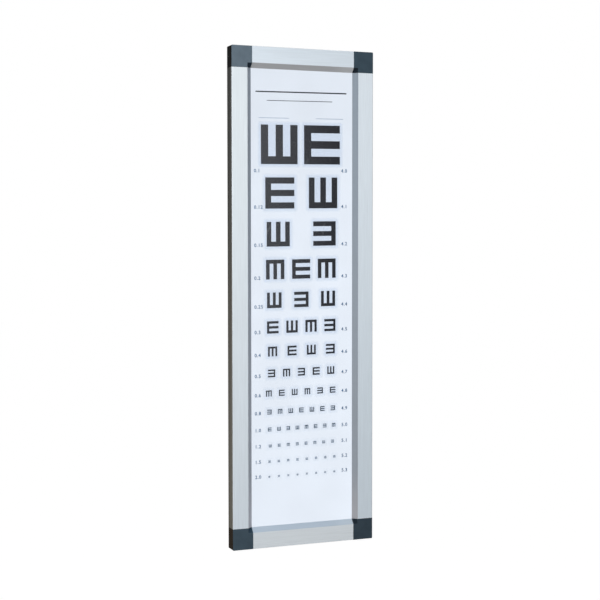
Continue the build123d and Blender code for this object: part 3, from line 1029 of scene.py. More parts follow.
@dataclass
class Rails:
    """The four rails: covers, bases and the spring clips between them.

    Attributes:
        base: Colour of the base extrusions, dark as painted shade.
        base_low: Their colour at the frame's bottom, paler as painted light.
        foot_reach: Length of the paler last stretch of a long cover's lip, a painted reflection of the
            lit chart. On a short one it is half of that.
        tones: Tones of each cover, with painted light, shade and reflection.
    """

    # Painted shade: the bases are dark, and paler towards the bottom as painted light.
    base: Colour = (0.044, 0.045, 0.042)
    base_low: Colour = (0.185, 0.170, 0.142)
    foot_reach: float = 110 * MM
    # Painted light and shade: the flats are brighter at the upper left, the lips carry painted shade
    # and painted reflection of the lit chart, and the right cover's edge holds a painted shade line.
    tones: tuple[RailTone, ...] = (
        RailTone(
            Side.LEFT,
            ((0.713, 0.774, 0.815), (0.700, 0.770, 0.835)),
            ((0.265, 0.305, 0.355), (0.335, 0.36, 0.405)),
            (0.45, 0.46, 0.51),
        ),
        RailTone(
            Side.RIGHT,
            ((0.752, 0.825, 0.890), (0.648, 0.730, 0.800)),
            ((0.225, 0.265, 0.31), (0.305, 0.335, 0.375)),
            (0.385, 0.39, 0.415),
            0.5,
        ),
        RailTone(
            Side.TOP,
            ((0.673, 0.747, 0.815),) * 2,
            ((0.345, 0.35, 0.36),) * 2,
            (0.43, 0.435, 0.445),
        ),
        RailTone(
            Side.BOTTOM,
            ((0.727, 0.780, 0.820),) * 2,
            ((0.475, 0.563, 0.66),) * 2,
            (0.54, 0.63, 0.72),
        ),
    )

    def build(self) -> None:
        """Dresses every rail."""
        for tone in self.tones:
            side = tone.side
            self.dress_cover(tone)
            base = BaseMetal(
                f"base_aluminium_{side.value}",
                self.base,
                low=self.base_low,
                rough=0.55,
                metallic=0.0,
                gloss=0.03,
                grain=Grain.of(side),
                front=CAD_BOX[0].y,
            )
            dress_node("base_rail_" + side.value, base)
            dress_node("spring_clips_" + side.value, self.spring_finish())

    def dress_cover(self, tone: RailTone) -> None:
        """Puts the brushed finish on one cover, with its grain along the rail.

        Args:
            tone: Tones of the cover.
        """
        side = tone.side
        node = "snap_cover_" + side.value
        across = 0 if side.upright else 2
        low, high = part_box(node)
        finish = CoverMetal(
            f"cover_aluminium_{side.value}",
            tone.flat[0],
            drift=0.012,
            rough=0.45,
            metallic=0.25,
            gloss=0.25,
            grain=Grain.of(side),
            across=across,
            outer=low[across] if side.low_side else high[across],
            inwards=1 if side.low_side else -1,
            front=low.y,
            flat=FLAT_WIDTH,
            low=tone.flat[1],
            lip=tone.lip[0],
            lip_low=tone.lip[1],
            lip_foot=tone.foot,
            foot=low.z if side.upright else high.x,
            foot_reach=self.foot_reach if side.upright else -self.foot_reach / 2,
            edge=tone.edge,
            skirt=self.base,
            skirt_low=self.base_low,
        )
        dress_node(node, finish)

    def spring_finish(self) -> Finish:
        """Bright rolled spring steel."""
        return DrawnMetal("spring_steel", (0.50, 0.50, 0.51), rough=0.28, line=0.15 * MM)


@dataclass(frozen=True)
class CornerTone:
    """Tones of one corner block.

    Attributes:
        place: Place of the block, as its node names it.
        front: Colour of its front, which holds painted highlight and shade.
        bevel: Colour of the bevel at its inner corner, painted shade.
        shade: Colour of its sides, painted shade.
    """

    place: str
    front: Colour
    bevel: Colour
    shade: Colour = (0.016, 0.017, 0.018)


@dataclass
class Corners:
    """The four corner blocks and the screws that hold them.

    Attributes:
        blocks: Tones of each block. The top left block's paler front is a painted highlight, and the
            other blocks' fronts, bevels and sides differ as painted light and shade.
        head_r: Radius of a screw's head, in millimetres as are the next four.
        shank_r: Radius of a screw's shank.
        cross_r: Reach of an arm of the cross recess.
        cross_half: Half the width of an arm.
        cross_depth: Depth of the recess.
        cross_taper: Size of the recess at its floor, as a share of its size at the head.
        turn_step: Turn of each screw from the one before, in radians.
    """

    blocks: tuple[CornerTone, ...] = (
        # Painted light: the top left front is paler as a painted highlight, and the bevels and sides
        # are painted shade.
        CornerTone("top_left", (0.130, 0.172, 0.210), (0.016, 0.025, 0.036), (0.006, 0.006, 0.006)),
        CornerTone("top_right", (0.052, 0.081, 0.106), (0.014, 0.020, 0.027)),
        CornerTone("bottom_left", (0.066, 0.098, 0.127), (0.032, 0.058, 0.085), (0.032, 0.023, 0.015)),
        CornerTone("bottom_right", (0.050, 0.074, 0.096), (0.022, 0.034, 0.045)),
    )
    head_r: float = 2.8
    shank_r: float = 1.4
    cross_r: float = 1.6
    cross_half: float = 0.4
    cross_depth: float = 1.0
    cross_taper: float = 0.7
    turn_step: float = 2.4

    def build(self) -> None:
        """Dresses the blocks and drives the screws."""
        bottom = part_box("corner_block_bottom_right")[0].z
        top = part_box("corner_block_top_right")[1].z
        half_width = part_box("snap_cover_right")[1].x
        look = {
            "rough": 0.6,
            "gloss": 0.012,
            "front": CAD_BOX[0].y,
            "middle": (bottom + top) / 2,
            "bevel_from": (half_width - FLAT_WIDTH, (top - bottom) / 2 - FLAT_WIDTH),
        }
        for tone in self.blocks:
            tones = {"bevel": tone.bevel, "shade": tone.shade}
            plastic = CornerPlastic("corner_plastic_" + tone.place, tone.front, **tones, **look)
            dress_node("corner_block_" + tone.place, plastic)
        self.screws()

    def screws(self) -> None:
        """Countersunk screws with a cross recess, where the frame has its screws."""
        shape = bmesh.new()
        facing_back = Matrix.Rotation(math.radians(-90), 4, "X")
        in_mm = Matrix.Scale(MM, 4)
        for number, (low, high) in enumerate(separate_boxes("corner_screws")):
            place = Matrix.Translation(((low.x + high.x) / 2, high.y, (low.z + high.z) / 2))
            spun = Matrix.Rotation(number * self.turn_step, 4, "Z")
            self.screw(shape, place @ facing_back @ spun @ in_mm, (high.y - low.y) / MM)
        zinc = DrawnMetal("zinc_plate", (0.66, 0.67, 0.70), rough=0.25, line=0.2 * MM)
        piece = add_piece("corner_screws_crosshead", shape, zinc, "frame")
        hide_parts("corner_screws")

    def screw(self, shape: bmesh.types.BMesh, seat: Matrix, length: float) -> None:
        """Adds one screw, head up at the origin of its seat.

        Args:
            shape: Mesh to add to.
            seat: Place of the screw, which also turns millimetres into metres.
            length: Length of the screw in millimetres.
        """
        half = (self.cross_half, self.cross_r, self.head_r)
        lines = (*(-part for part in reversed(half)), *half)
        cells = len(lines) - 1
        made = bmesh.ops.create_grid(shape, x_segments=cells, y_segments=cells, size=1.0)["verts"]
        for vertex in made:
            x, y = (lines[round((part + 1) * cells / 2)] for part in vertex.co.xy)
            vertex.co = (x, y, 0.0)
            if self.head_r in (abs(x), abs(y)):
                vertex.co *= self.head_r / vertex.co.length
        arms = [face for face in faces_of(made) if self.in_cross(face)]
        sunk = bmesh.ops.extrude_face_region(shape, geom=arms)
        floor = [item for item in sunk["geom"] if isinstance(item, bmesh.types.BMVert)]
        bmesh.ops.delete(shape, geom=arms, context="FACES_ONLY")
        bmesh.ops.scale(shape, verts=floor, vec=(self.cross_taper, self.cross_taper, 1.0))
        bmesh.ops.translate(shape, verts=floor, vec=(0.0, 0.0, -self.cross_depth))
        kept = [vertex for vertex in made if vertex.is_valid]
        rim = [edge for vertex in kept for edge in vertex.link_edges if edge.is_boundary]
        cone = self.head_r - self.shank_r
        shank = self.grow(shape, list(dict.fromkeys(rim)), self.shank_r / self.head_r, -cone)
        tip = self.grow(shape, shank, 1.0, cone - length)
        bmesh.ops.holes_fill(shape, edges=tip)
        body = self.island(kept + floor)
        bmesh.ops.recalc_face_normals(shape, faces=faces_of(body))
        bmesh.ops.transform(shape, matrix=seat, verts=body)

    def in_cross(self, face: bmesh.types.BMFace) -> bool:
        """True for a cell of the head that lies in an arm of the cross recess."""
        nearer, farther = sorted(map(abs, face.calc_center_median().xy))
        return nearer < self.cross_half and farther < self.cross_r

    @staticmethod
    def grow(
        shape: bmesh.types.BMesh, edges: list[bmesh.types.BMEdge], scale: float, rise: float
    ) -> list[bmesh.types.BMEdge]:
        """Extrudes a ring of edges along the screw.

        Args:
            shape: Mesh to add to.
            edges: The ring.
            scale: Scale of the new ring about the screw's axis.
            rise: How far the new ring lies above the old one, below zero for downwards.

        Returns:
            Edges of the new ring.
        """
        made = bmesh.ops.extrude_edge_only(shape, edges=edges)["geom"]
        verts = [item for item in made if isinstance(item, bmesh.types.BMVert)]
        bmesh.ops.scale(shape, verts=verts, vec=(scale, scale, 1.0))
        bmesh.ops.translate(shape, verts=verts, vec=(0.0, 0.0, rise))
        return [item for item in made if isinstance(item, bmesh.types.BMEdge) and item.is_boundary]

    @staticmethod
    def island(seeds: Iterable[bmesh.types.BMVert]) -> list[bmesh.types.BMVert]:
        """All vertices that hang together with some of them.

        Args:
            seeds: Those vertices.

        Returns:
            All of them and every vertex that edges join to them.
        """
        reached = list(seeds)
        found = set(reached)
        while reached:
            vertex = reached.pop()
            fresh = {edge.other_vert(vertex) for edge in vertex.link_edges} - found
            found |= fresh
            reached.extend(fresh)
        return list(found)


@dataclass(frozen=True)
class Row:
    """A row of the chart.

    Attributes:
        decimal: Acuity as a decimal, printed at the left.
        score: Acuity on the five-point scale, printed at the right.
        opens: Side on which each symbol opens, as letters of Opens.
        pitch: Distance between the middles of its symbols, in millimetres.
        aside: How far the row stands right of the rows' middle, in millimetres.
    """

    decimal: str
    score: str
    opens: str
    pitch: float
    aside: float = 0.0


@dataclass(frozen=True)
class Rule:
    """A heading rule of the chart, in millimetres.

    Attributes:
        drop: Distance from the film's top.
        left: Left end, from the middle of the film.
        right: Right end.
        thickness: Thickness.
    """

    drop: float
    left: float
    right: float
    thickness: float


@dataclass
class Chart:
    """The chart's print, on the front face of its film, drawn in millimetres.

    The symbols follow the logarithmic series for 5 m: each row is smaller by the tenth root of
    ten, and the white space between rows stays the same.

    Attributes:
        rows: The rows, top to bottom.
        first_size: Height of the top row's symbols.
        top_margin: From the film's top to the top row.
        row_gap: White space between rows.
        middle: Middle of the rows, from the middle of the film.
        climb: Rise of the print to the right, from a film cut slightly askew.
        lean: Drift of the print to the right on its way down.
        number_height: Height of the printed numbers.
        number_weight: How far their strokes are thickened on each side.
        number_spacing: Spacing of their figures against the font's own.
        figure_share: Height of the font's figures as a share of its size.
        curve_steps: Points on each stretch of a figure's outline.
        decimals_x: Left edge of the left column of numbers.
        scores_x: Left edge of the right column of numbers.
        first_drop: How far the top row's numbers stand below their row.
        ink_thickness: Thickness of the ink.
        ink_gap: Share of that thickness by which a print stands clear of the layers next to it.
        gap_shade_share: Size of the painted shade in a symbol's gaps against the symbol.
        thin_ink: Colour of the black ink on the finest symbols.
        thins_after: Row, counted from 0, below which the black ink starts to thin.
        thin_after: Row below which it is thin.
        halo_reach: How far the painted shade round a symbol reaches.
        halo_full_size: Size of symbol from which the dimming is at its full strength.
        title_rules: Rules at the head of the chart.
        column_rules: Rules over the two columns of numbers.
    """

    rows: tuple[Row, ...]
    first_size: float = 72.72
    top_margin: float = 115.3
    row_gap: float = 24.39
    middle: float = -2.2
    climb: float = 0.0138
    lean: float = 0.0021
    number_height: float = 6.4
    number_weight: float = 0.22
    number_spacing: float = 1.15
    figure_share: float = 0.72
    curve_steps: int = 3
    decimals_x: float = -95.9
    scores_x: float = 79.0
    first_drop: float = 15.0
    ink_thickness: float = 0.02
    ink_gap: float = 0.1
    gap_shade_share: float = 0.995
    thin_ink: Colour = (0.018, 0.075, 0.14)
    thins_after: int = 7
    thin_after: int = 12
    halo_reach: float = 9.0
    halo_full_size: float = 18.0
    title_rules: tuple[Rule, ...] = (
        Rule(55.0, -92.0, 90.0, 2.4),
        Rule(71.0, -70.0, 61.0, 1.2),
    )
    column_rules: tuple[Rule, ...] = (
        Rule(103.0, -86.0, -26.0, 0.7),
        Rule(103.0, 28.0, 83.0, 0.7),
    )

    def build(self) -> None:
        """Prints the symbols, the numbers and the heading rules, and lays painted shade in each
        symbol's gaps and round it.
        """
        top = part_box("chart_film")[1].z
        bottoms = [top + bottom * MM for _, _, bottom in self.row_places()]
        black = Ink(
            "chart_ink",
            (0.017, 0.018, 0.024),
            drift=0.15,
            rough=0.45,
            thin=self.thin_ink,
            thin_from=bottoms[self.thins_after],
            thin_to=bottoms[self.thin_after],
        )
        blue = Ink("number_ink", (0.08, 0.18, 0.34), drift=0.12, rough=0.5)
        # Painted shade: the film is dimmer and bluer round each dark symbol and in its gaps.
        halo = Halo("symbol_halo", (0.02, 0.28, 0.72), drift=0.05, rough=0.6)
        gap_shade = Ink("symbol_gap_shade", (0.20, 0.42, 0.78), drift=0.05, rough=0.6, alpha=0.12)
        self.piece("chart_symbols", self.symbols(), 2, black)
        self.piece("chart_gap_shades", self.gap_shades(), 1, gap_shade)
        self.piece("chart_halos", self.halos(), 1, halo)
        self.piece("chart_numbers", self.numbers(), 2, blue)
        self.piece("chart_title_rules", self.ruled(self.title_rules), 2, black)
        self.piece("chart_column_rules", self.ruled(self.column_rules), 2, blue)

    def piece(self, name: str, shape: bmesh.types.BMesh, layer: int, finish: Finish) -> None:
        """Lays a flat print, drawn in x and y, on the film and gives it its thickness.

        Args:
            name: Name of the piece.
            shape: Flat mesh, from the middle of the film's top edge, x right and y up.
            layer: Its layer on the film, counted from 1.
            finish: Its ink.
        """
        low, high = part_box("chart_film")
        for face in shape.faces:
            if face.normal.z < 0:
                face.normal_flip()
        fronts = bmesh.ops.extrude_face_region(shape, geom=shape.faces[:])["geom"]
        front_verts = [item for item in fronts if isinstance(item, bmesh.types.BMVert)]
        thickness = self.ink_thickness * (1 - 2 * self.ink_gap)
        bmesh.ops.translate(shape, verts=front_verts, vec=(0.0, 0.0, thickness))
        bmesh.ops.recalc_face_normals(shape, faces=shape.faces)
        askew = Matrix.Identity(4)
        askew[1][0] = self.climb
        askew[0][1] = -self.lean
        stand = Matrix.Rotation(math.radians(90), 4, "X") @ Matrix.Scale(MM, 4)
        back = low.y - (layer - 1 + self.ink_gap) * self.ink_thickness * MM
        seat = Matrix.Translation(((low.x + high.x) / 2, back, high.z))
        bmesh.ops.transform(shape, matrix=seat @ stand @ askew, verts=shape.verts)
        add_piece(name, shape, finish, "frame")

    def row_places(self) -> list[tuple[Row, float, float]]:
        """Where the rows lie.

        Returns:
            Each row with the size of its symbols and the place of their bottom line, from the
            film's top and so below zero.
        """
        places = []
        bottom = -self.top_margin + self.row_gap
        for number, row in enumerate(self.rows):
            size = self.first_size * 10 ** (-0.1 * number)
            bottom -= self.row_gap + size
            places.append((row, size, bottom))
        return places

    def symbol_places(self) -> Iterable[tuple[float, float, float, Opens]]:
        """Where the symbols lie.

        Returns:
            For each symbol, x and y of its middle, its size and the side on which it opens.
        """
        for row, size, bottom in self.row_places():
            for index, letter in enumerate(row.opens):
                x = self.middle + row.aside + (index - (len(row.opens) - 1) / 2) * row.pitch
                yield x, bottom + size / 2, size, Opens[letter]

    def symbols(self) -> bmesh.types.BMesh:
        """All symbols: five cells square, three bars on a spine.

        Returns:
            Flat mesh of the symbols.
        """
        shape = bmesh.new()
        cells = 5
        cell = 1 / cells
        for x, y, size, opens in self.symbol_places():
            turned = Matrix.Rotation(math.radians(90 * opens.value), 4, "Z")
            seat = Matrix.Translation((x, y, 0)) @ turned @ Matrix.Scale(size, 4)
            grid = bmesh.ops.create_grid(shape, x_segments=cells, y_segments=cells, size=0.5)
            made = grid["verts"]
            gaps = []
            for face in faces_of(made):
                centre = face.calc_center_median()
                between_bars = abs(abs(centre.y) - cell) < cell / 4
                if between_bars and centre.x > -1.5 * cell:
                    gaps.append(face)
            bmesh.ops.delete(shape, geom=gaps, context="FACES")
            kept = [vertex for vertex in made if vertex.is_valid]
            bmesh.ops.transform(shape, matrix=seat, verts=kept)
        flat = {"verts": shape.verts, "edges": shape.edges}
        bmesh.ops.dissolve_limit(shape, angle_limit=math.radians(1), **flat)
        return shape

    def gap_shades(self) -> bmesh.types.BMesh:
        """Painted shade behind each symbol, a hair smaller than it, which dims and blues its gaps.

        Returns:
            Flat mesh of the painted shades.
        """
        shape = bmesh.new()
        for x, y, size, _ in self.symbol_places():
            seat = Matrix.Translation((x, y, 0)) @ Matrix.Scale(size * self.gap_shade_share, 4)
            bmesh.ops.create_grid(shape, x_segments=1, y_segments=1, size=0.5, matrix=seat)
        return shape

    def halos(self) -> bmesh.types.BMesh:
        """A ring of painted shade round each symbol, cut short halfway to the next symbol.

        Returns:
            Flat mesh of the rings, with the attribute that Halo reads.
        """
        shape = bmesh.new()
        halo = shape.verts.layers.float_vector.new(HALO)
        pitches = {size: row.pitch for row, size, _ in self.row_places()}
        cells = 3
        cell = 1 / cells
        for x, y, size, _ in self.symbol_places():
            reach = min(self.halo_reach, (pitches[size] - size) / 2)
            strength = min(1.0, size / self.halo_full_size)
            grid = bmesh.ops.create_grid(shape, x_segments=cells, y_segments=cells, size=0.5)
            made = grid["verts"]
            for vertex in made:
                across, up = (round(part) for part in vertex.co.xy / (1.5 * cell))
                share = reach / self.halo_reach
                vertex[halo] = (across * share, up * share, strength)
            faces = faces_of(made)
            middle = [face for face in faces if face.calc_center_median().length < cell / 2]
            bmesh.ops.delete(shape, geom=middle, context="FACES_ONLY")
            bmesh.ops.scale(shape, verts=made, vec=(size / cell, size / cell, 1.0))
            for axis in (Vector((1.0, 0.0, 0.0)), Vector((0.0, 1.0, 0.0))):
                for way in (-1, 1):
                    outer = [vertex for vertex in made if vertex[halo].dot(axis) * way > 0]
                    bmesh.ops.translate(shape, verts=outer, vec=axis * way * (reach - size))
            bmesh.ops.translate(shape, verts=made, vec=(x, y, 0.0))
        return shape

    @staticmethod
    def ruled(rules: Iterable[Rule]) -> bmesh.types.BMesh:
        """Plain rules.

        Args:
            rules: Their places and sizes.

        Returns:
            Flat mesh of the rules.
        """
        shape = bmesh.new()
        for rule in rules:
            stretch = Matrix.Diagonal((rule.right - rule.left, rule.thickness, 1.0, 1.0))
            seat = Matrix.Translation(((rule.left + rule.right) / 2, -rule.drop, 0)) @ stretch
            bmesh.ops.create_grid(shape, x_segments=1, y_segments=1, size=0.5, matrix=seat)
        return shape

    def numbers(self) -> bmesh.types.BMesh:
        """Both columns of numbers, which stand on the rows' bottom lines.

        Returns:
            Flat mesh of the numbers.
        """
        shape = bmesh.new()
        for row, size, bottom in self.row_places():
            base = bottom - (self.first_drop if row is self.rows[0] else 0.0)
            self.lettering(shape, row.decimal, self.decimals_x, base)
            self.lettering(shape, row.score, self.scores_x, base)
        return shape

    def lettering(self, shape: bmesh.types.BMesh, text: str, left: float, base: float) -> None:
        """Adds one flat number.

        Args:
            shape: Mesh to add to.
            text: The number.
            left: Its left edge.
            base: Its base line.
        """
        curve = bpy.data.curves.new("number", "FONT")
        curve.body = text
        curve.space_character = self.number_spacing
        curve.offset = self.number_weight
        curve.resolution_u = self.curve_steps
        curve.size = self.number_height / self.figure_share
        holder = bpy.data.objects.new("number", curve)
        mesh = bpy.data.meshes.new_from_object(holder)
        mesh.transform(Matrix.Translation((left, base, 0.0)))
        shape.from_mesh(mesh)
        bpy.data.objects.remove(holder)
        bpy.data.curves.remove(curve)
        bpy.data.meshes.remove(mesh)


@dataclass
class LitStack:
    """The sheets behind the frame's opening, from the clear sheet to the back panel.

    Attributes:
        smears: Wiping marks on the clear sheet.
    """

    smears: tuple[Smear, ...]

    def build(self) -> None:
        """Dresses each sheet."""
        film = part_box("chart_film")
        half = (film[1].x - film[0].x) / 2
        clear = ClearSheet(
            "clear_acrylic", (0.85, 0.9, 0.95), 0.02, 0.08, half_width=half, smears=self.smears
        )
        extent = {"half_width": half, "head": film[1].z}
        lit = LitSheet(
            "lit_film",
            (0.39, 0.405, 0.436),
            0.01,
            0.6,
            glow=(0.86, 0.91, 0.965),
            strength=0.49,
            **extent,
        )
        panel = DrawnMetal(
            "panel_aluminium",
            (0.46, 0.47, 0.48),
            0.05,
            0.5,
            line=0.5 * MM,
            metallic=0.25,
            gloss=0.2,
            hairline=0.1,
        )
        dress_node("clear_cover_sheet", clear)
        dress_node("chart_film", lit)
        dress_node("diffuser_sheet", LitSheet("opal_sheet", (0.7, 0.72, 0.74), 0.01, 0.6, **extent))
        guide = DottedSheet("light_guide", (0.75, 0.86, 0.88), 0.02, 0.1, alpha=0.6)
        dress_node("light_guide_plate", guide)
        dress_node("reflector_sheet", Moulded("white_reflector", (0.85, 0.85, 0.85), rough=0.7))
        dress_node("back_panel", panel)


@dataclass
class Lighting:
    """Light strips and their inner leads."""

    def build(self) -> None:
        """Dresses the strips, their emitters and the leads."""
        low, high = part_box("led_strip_left")
        middle = (low.y + high.y) / 2
        centre = (low.z + high.z) / 2
        board = StripBoard("strip_board", (0.80, 0.82, 0.80), 0.03, 0.35, middle=middle, centre=centre)
        phosphor = Phosphor("led_phosphor", (0.85, 0.66, 0.12), 0.05, 0.4, middle=middle)
        sleeve = Moulded("lead_sleeve", (0.02, 0.02, 0.022), 0.1, 0.45, texture=1.5 * MM)
        for side in (Side.LEFT, Side.RIGHT):
            dress_node("led_strip_" + side.value, board)
            dress_node("led_emitters_" + side.value, phosphor)
            dress_node("strip_lead_" + side.value, sleeve)
        dress_node("switch_lead", sleeve)


@dataclass
class Supply:
    """Where the supply cord comes in: grommet and terminal block."""

    def build(self) -> None:
        """Dresses the grommet, the terminal block and its screws."""
        rubber = Moulded("grommet_rubber", (0.018, 0.018, 0.018), 0.1, 0.75, texture=0.3 * MM)
        nylon = Moulded("terminal_nylon", (0.68, 0.67, 0.60), 0.04, 0.45, texture=0.8 * MM)
        brass = DrawnMetal("terminal_brass", (0.62, 0.42, 0.14), 0.08, 0.3, line=0.1 * MM)
        dress_node("cord_grommet", rubber)
        dress_node("terminal_block", nylon)
        dress_node("terminal_screws", brass)


@dataclass
class Switch:
    """Rocker switch in the right side.

    Attributes:
        tilt: Turn of the rocker at rest, in degrees.
        face_angle: Angle between each face of the rocker and its middle plane, in degrees.
        valley: Height of the valley between the faces over the hinge line, in millimetres as are
            the next four.
        mark_at: Distance of a mark from the valley, along its face.
        mark_height: Height of a mark.
        stroke: Width of a mark's stroke.
        lift: How far a mark stands proud.
        ring_sides: Sides of the round mark.
    """

    tilt: float = 9.0
    face_angle: float = 9.78
    valley: float = 0.7
    mark_at: float = 3.1
    mark_height: float = 2.0
    stroke: float = 0.35
    lift: float = 0.04
    ring_sides: int = 32

    def build(self) -> None:
        """Dresses the switch and prints its two marks."""
        black = (0.016, 0.016, 0.018)
        glossy = Moulded("switch_nylon", black, 0.08, 0.32, texture=1.2 * MM, depth=0.01 * MM)
        bezel = Moulded("switch_bezel", black, 0.08, 0.5, texture=0.4 * MM)
        brass = DrawnMetal("spade_brass", (0.62, 0.42, 0.14), 0.06, 0.32, line=0.12 * MM)
        dress_node("switch_housing", bezel)
        dress_node("switch_rocker", glossy)
        dress_node("switch_spades", brass)
        white = Ink("mark_paint", (0.80, 0.80, 0.78), drift=0.04, rough=0.5)
        marks = bmesh.new()
        upright = Matrix.Diagonal((self.stroke, self.mark_height, 1.0, 1.0))
        bmesh.ops.create_grid(marks, x_segments=1, y_segments=1, size=0.5, matrix=upright)
        self.stand(marks, marks.verts[:], -1)
        radius = self.mark_height / 2
        ring = bmesh.ops.create_circle(marks, segments=self.ring_sides, radius=radius)["verts"]
        edges = list(dict.fromkeys(edge for vertex in ring for edge in vertex.link_edges))
        inner = bmesh.ops.extrude_edge_only(marks, edges=edges)["geom"]
        inner_verts = [item for item in inner if isinstance(item, bmesh.types.BMVert)]
        share = 1.0 - self.stroke / radius
        bmesh.ops.scale(marks, verts=inner_verts, vec=(share, share, 1.0))
        self.stand(marks, ring + inner_verts, 1)
        add_piece("rocker_marks", marks, white, "rocker")

    def stand(self, shape: bmesh.types.BMesh, verts: list[bmesh.types.BMVert], up: int) -> None:
        """Lays a flat mark, drawn in x and y, on the upper or the lower face of the rocker.

        Args:
            shape: Mesh that holds the mark.
            verts: Vertices of the mark.
            up: 1 for the upper face, -1 for the lower one.
        """
        low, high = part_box("switch_housing")
        rail_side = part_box("base_rail_right")[1].x
        pivot = Vector((rail_side, (low.y + high.y) / 2, (low.z + high.z) / 2))
        steps = (
            Matrix.Translation(pivot),
            Matrix.Scale(MM, 4),
            Matrix.Rotation(math.radians(self.tilt), 4, "Y"),
            Matrix.Translation((self.valley + self.lift, 0.0, 0.0)),
            Matrix.Rotation(math.radians(self.face_angle * up), 4, "Y"),
            Matrix.Translation((0.0, 0.0, self.mark_at * up)),
            Matrix.Rotation(math.radians(90), 4, "Z"),
            Matrix.Rotation(math.radians(90), 4, "X"),
        )
        seat = Matrix.Identity(4)
        for step in steps:
            seat @= step
        bmesh.ops.transform(shape, matrix=seat, verts=verts)


@dataclass(frozen=True)
class Lamp:
    """A square soft light that faces the box.

    Attributes:
        name: Name.
        offset: Place from the middle of the box's front.
        size: Length of a side.
        power: Power in watts.
    """

    name: str
    offset: tuple[float, float, float]
    size: float
    power: float


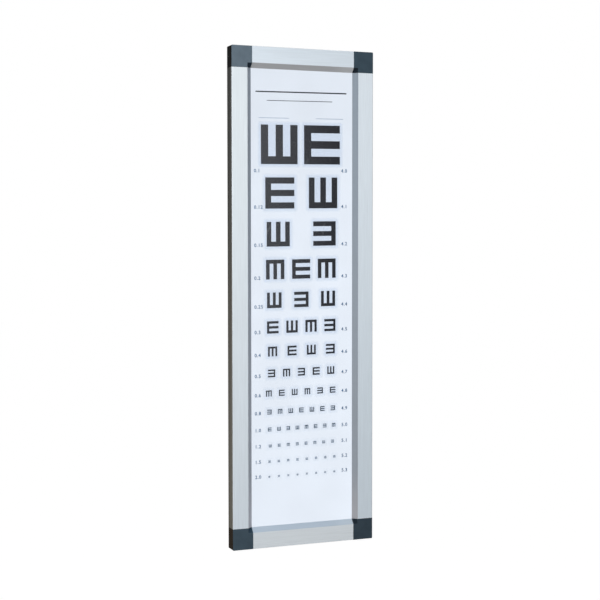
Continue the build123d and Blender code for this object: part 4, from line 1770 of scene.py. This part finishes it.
@dataclass
class Studio:
    """Camera, lights and a plain pale floor.

    Attributes:
        stand_off: Camera's place from the middle of the box's front.
        heading: Camera's turn to the right, in degrees.
        dip: Camera's turn downwards, in degrees.
        roll: Camera's turn about its own axis, in degrees.
        lens: Focal length in millimetres.
        sensor: Width of the sensor in millimetres.
        lamps: Lights.
        floor_drop: From the middle of the box down to the floor.
        floor_radius: Radius of the floor.
        floor_sides: Sides of the round floor.
        floor_colour: Colour of the floor's paint.
        floor_glow: Share of white that the floor shows by itself.
        ambient: Strength of the world's light.
    """

    stand_off: tuple[float, float, float] = (-0.914, -2.2854, 0.1127)
    heading: float = 21.6
    dip: float = 2.666
    roll: float = -0.038
    lens: float = 79.13
    sensor: float = 36.0
    lamps: tuple[Lamp, ...] = (
        Lamp("key_light", (-0.72, -1.45, 0.52), 0.8, 22.0),
        Lamp("back_light", (1.2, 1.3, 1.5), 0.9, 38.0),
    )
    floor_drop: float = 2.6
    floor_radius: float = 40.0
    floor_sides: int = 64
    floor_colour: Colour = (0.82, 0.82, 0.82)
    floor_glow: float = 0.86
    ambient: float = 0.17

    def build(self) -> None:
        """Sets up the studio round the box."""
        low, high = CAD_BOX
        middle = Vector(((low.x + high.x) / 2, low.y, (low.z + high.z) / 2))
        self.camera(middle)
        self.world()
        self.floor(middle)
        for lamp in self.lamps:
            self.light(lamp, middle)
        bpy.context.scene.view_settings.view_transform = "Standard"

    def camera(self, middle: Vector) -> None:
        """Camera to the left of the box, turned towards it.

        Args:
            middle: Middle of the box's front.
        """
        data = bpy.data.cameras.new("camera")
        data.lens = self.lens
        data.sensor_width = self.sensor
        camera = bpy.data.objects.new("camera", data)
        turns = ((-self.heading, "Z"), (90.0 - self.dip, "X"), (self.roll, "Z"))
        matrix = Matrix.Translation(middle + Vector(self.stand_off))
        for angle, axis in turns:
            matrix = matrix @ Matrix.Rotation(math.radians(angle), 4, axis)
        camera.matrix_world = matrix
        bpy.context.scene.collection.objects.link(camera)
        bpy.context.scene.camera = camera

    @staticmethod
    def light(lamp: Lamp, middle: Vector) -> None:
        """Hangs up a light, which the camera doesn't see.

        Args:
            lamp: The light.
            middle: Point that it faces.
        """
        data = bpy.data.lights.new(lamp.name, "AREA")
        data.size = lamp.size
        data.energy = lamp.power
        light = bpy.data.objects.new(lamp.name, data)
        offset = Vector(lamp.offset)
        turned = (-offset).to_track_quat("-Z", "Y").to_matrix().to_4x4()
        light.matrix_world = Matrix.Translation(middle + offset) @ turned
        light.visible_camera = False
        bpy.context.scene.collection.objects.link(light)

    def world(self) -> None:
        """White to the eye and in reflections, softer as a light."""
        world = bpy.data.worlds.new("studio")
        bpy.context.scene.world = world
        world.use_nodes = True
        tree = world.node_tree
        tree.nodes.clear()
        output = tree.nodes.new("ShaderNodeOutputWorld")
        background = tree.nodes.new("ShaderNodeBackground")
        background.inputs["Color"].default_value = (1.0, 1.0, 1.0, 1.0)
        seen = self.seen(tree)
        strength = tree.nodes.new("ShaderNodeMapRange")
        strength.inputs["To Min"].default_value = self.ambient
        strength.inputs["To Max"].default_value = 1.0
        tree.links.new(seen, strength.inputs["Value"])
        tree.links.new(strength.outputs["Result"], background.inputs["Strength"])
        tree.links.new(background.outputs[0], output.inputs["Surface"])

    @staticmethod
    def seen(tree: bpy.types.NodeTree) -> Socket:
        """Tells the rays that see a surface from those that only light it.

        Args:
            tree: Nodes to add to.

        Returns:
            Socket that is 1 for camera, glossy and transmission rays.
        """
        path = tree.nodes.new("ShaderNodeLightPath")
        total = path.outputs["Is Camera Ray"]
        for name in ("Is Glossy Ray", "Is Transmission Ray"):
            largest = tree.nodes.new("ShaderNodeMath")
            largest.operation = "MAXIMUM"
            tree.links.new(total, largest.inputs[0])
            tree.links.new(path.outputs[name], largest.inputs[1])
            total = largest.outputs[0]
        return total

    def floor(self, middle: Vector) -> None:
        """Pale round floor below the box, which keeps the box's shadow.

        Args:
            middle: Middle of the box's front.
        """
        shape = bmesh.new()
        seat = Matrix.Translation((middle.x, middle.y, middle.z - self.floor_drop))
        disc = {"segments": self.floor_sides, "radius": self.floor_radius}
        bmesh.ops.create_circle(shape, cap_ends=True, matrix=seat, **disc)
        mesh = bpy.data.meshes.new("floor")
        shape.to_mesh(mesh)
        shape.free()
        floor = bpy.data.objects.new("floor", mesh)
        bpy.context.scene.collection.objects.link(floor)
        graph = Graph("floor_paint")
        glow = graph.add("ShaderNodeMapRange")
        glow.inputs["To Max"].default_value = self.floor_glow
        graph.feed(glow.inputs["Value"], self.seen(graph.tree))
        graph.set(
            Base_Color=self.floor_colour,
            Roughness=0.9,
            Specular_IOR_Level=0.0,
            Emission_Color=(1.0, 1.0, 1.0),
            Emission_Strength=glow.outputs["Result"],
        )
        mesh.materials.append(graph.material)


# Decimal, score, openings, pitch and offset of each row, from 0.1 to 2.0.
CHART_ROWS = (
    Row("0.1", "4.0", "UR", 85.7, -0.5),
    Row("0.12", "4.1", "RU", 86.9, 0.9),
    Row("0.15", "4.2", "UL", 93.0, 0.5),
    Row("0.2", "4.3", "DRD", 51.9, -0.4),
    Row("0.25", "4.4", "ULU", 54.2, -0.1),
    Row("0.3", "4.5", "RUDL", 38.4, 0.1),
    Row("0.4", "4.6", "DRUL", 38.9, 0.3),
    Row("0.5", "4.7", "LDLRU", 29.9, -0.4),
    Row("0.6", "4.8", "DRUDLR", 25.8, -1.3),
    Row("0.8", "4.9", "LDURURL", 21.4, -0.7),
    Row("1.0", "5.0", "RULUDRLD", 18.5, 0.4),
    Row("1.2", "5.1", "URDLRDUL", 18.0, -0.4),
    Row("1.5", "5.2", "LUDRURLD", 18.8, 0.6),
    Row("2.0", "5.3", "RDLUDLRU", 18.8, 0.6),
)

# Place, half length, half width and lean of each mark.
WIPING_MARKS = (
    Smear(8 * MM, -196 * MM, 14 * MM, 2.2 * MM, 28),
    Smear(-68 * MM, -322 * MM, 16 * MM, 3.0 * MM, 30),
    Smear(43 * MM, -318 * MM, 18 * MM, 4.0 * MM, 12),
)


def main() -> None:
    """Builds every sub-assembly, then the studio."""
    logging.basicConfig(level=logging.INFO, format="%(message)s")
    parts = (
        Rails(),
        Corners(),
        LitStack(WIPING_MARKS),
        Chart(CHART_ROWS),
        Lighting(),
        Supply(),
        Switch(),
        Studio(),
    )
    for part in parts:
        LOG.info("building %s", type(part).__name__)
        part.build()


if __name__ == "__main__":
    main()
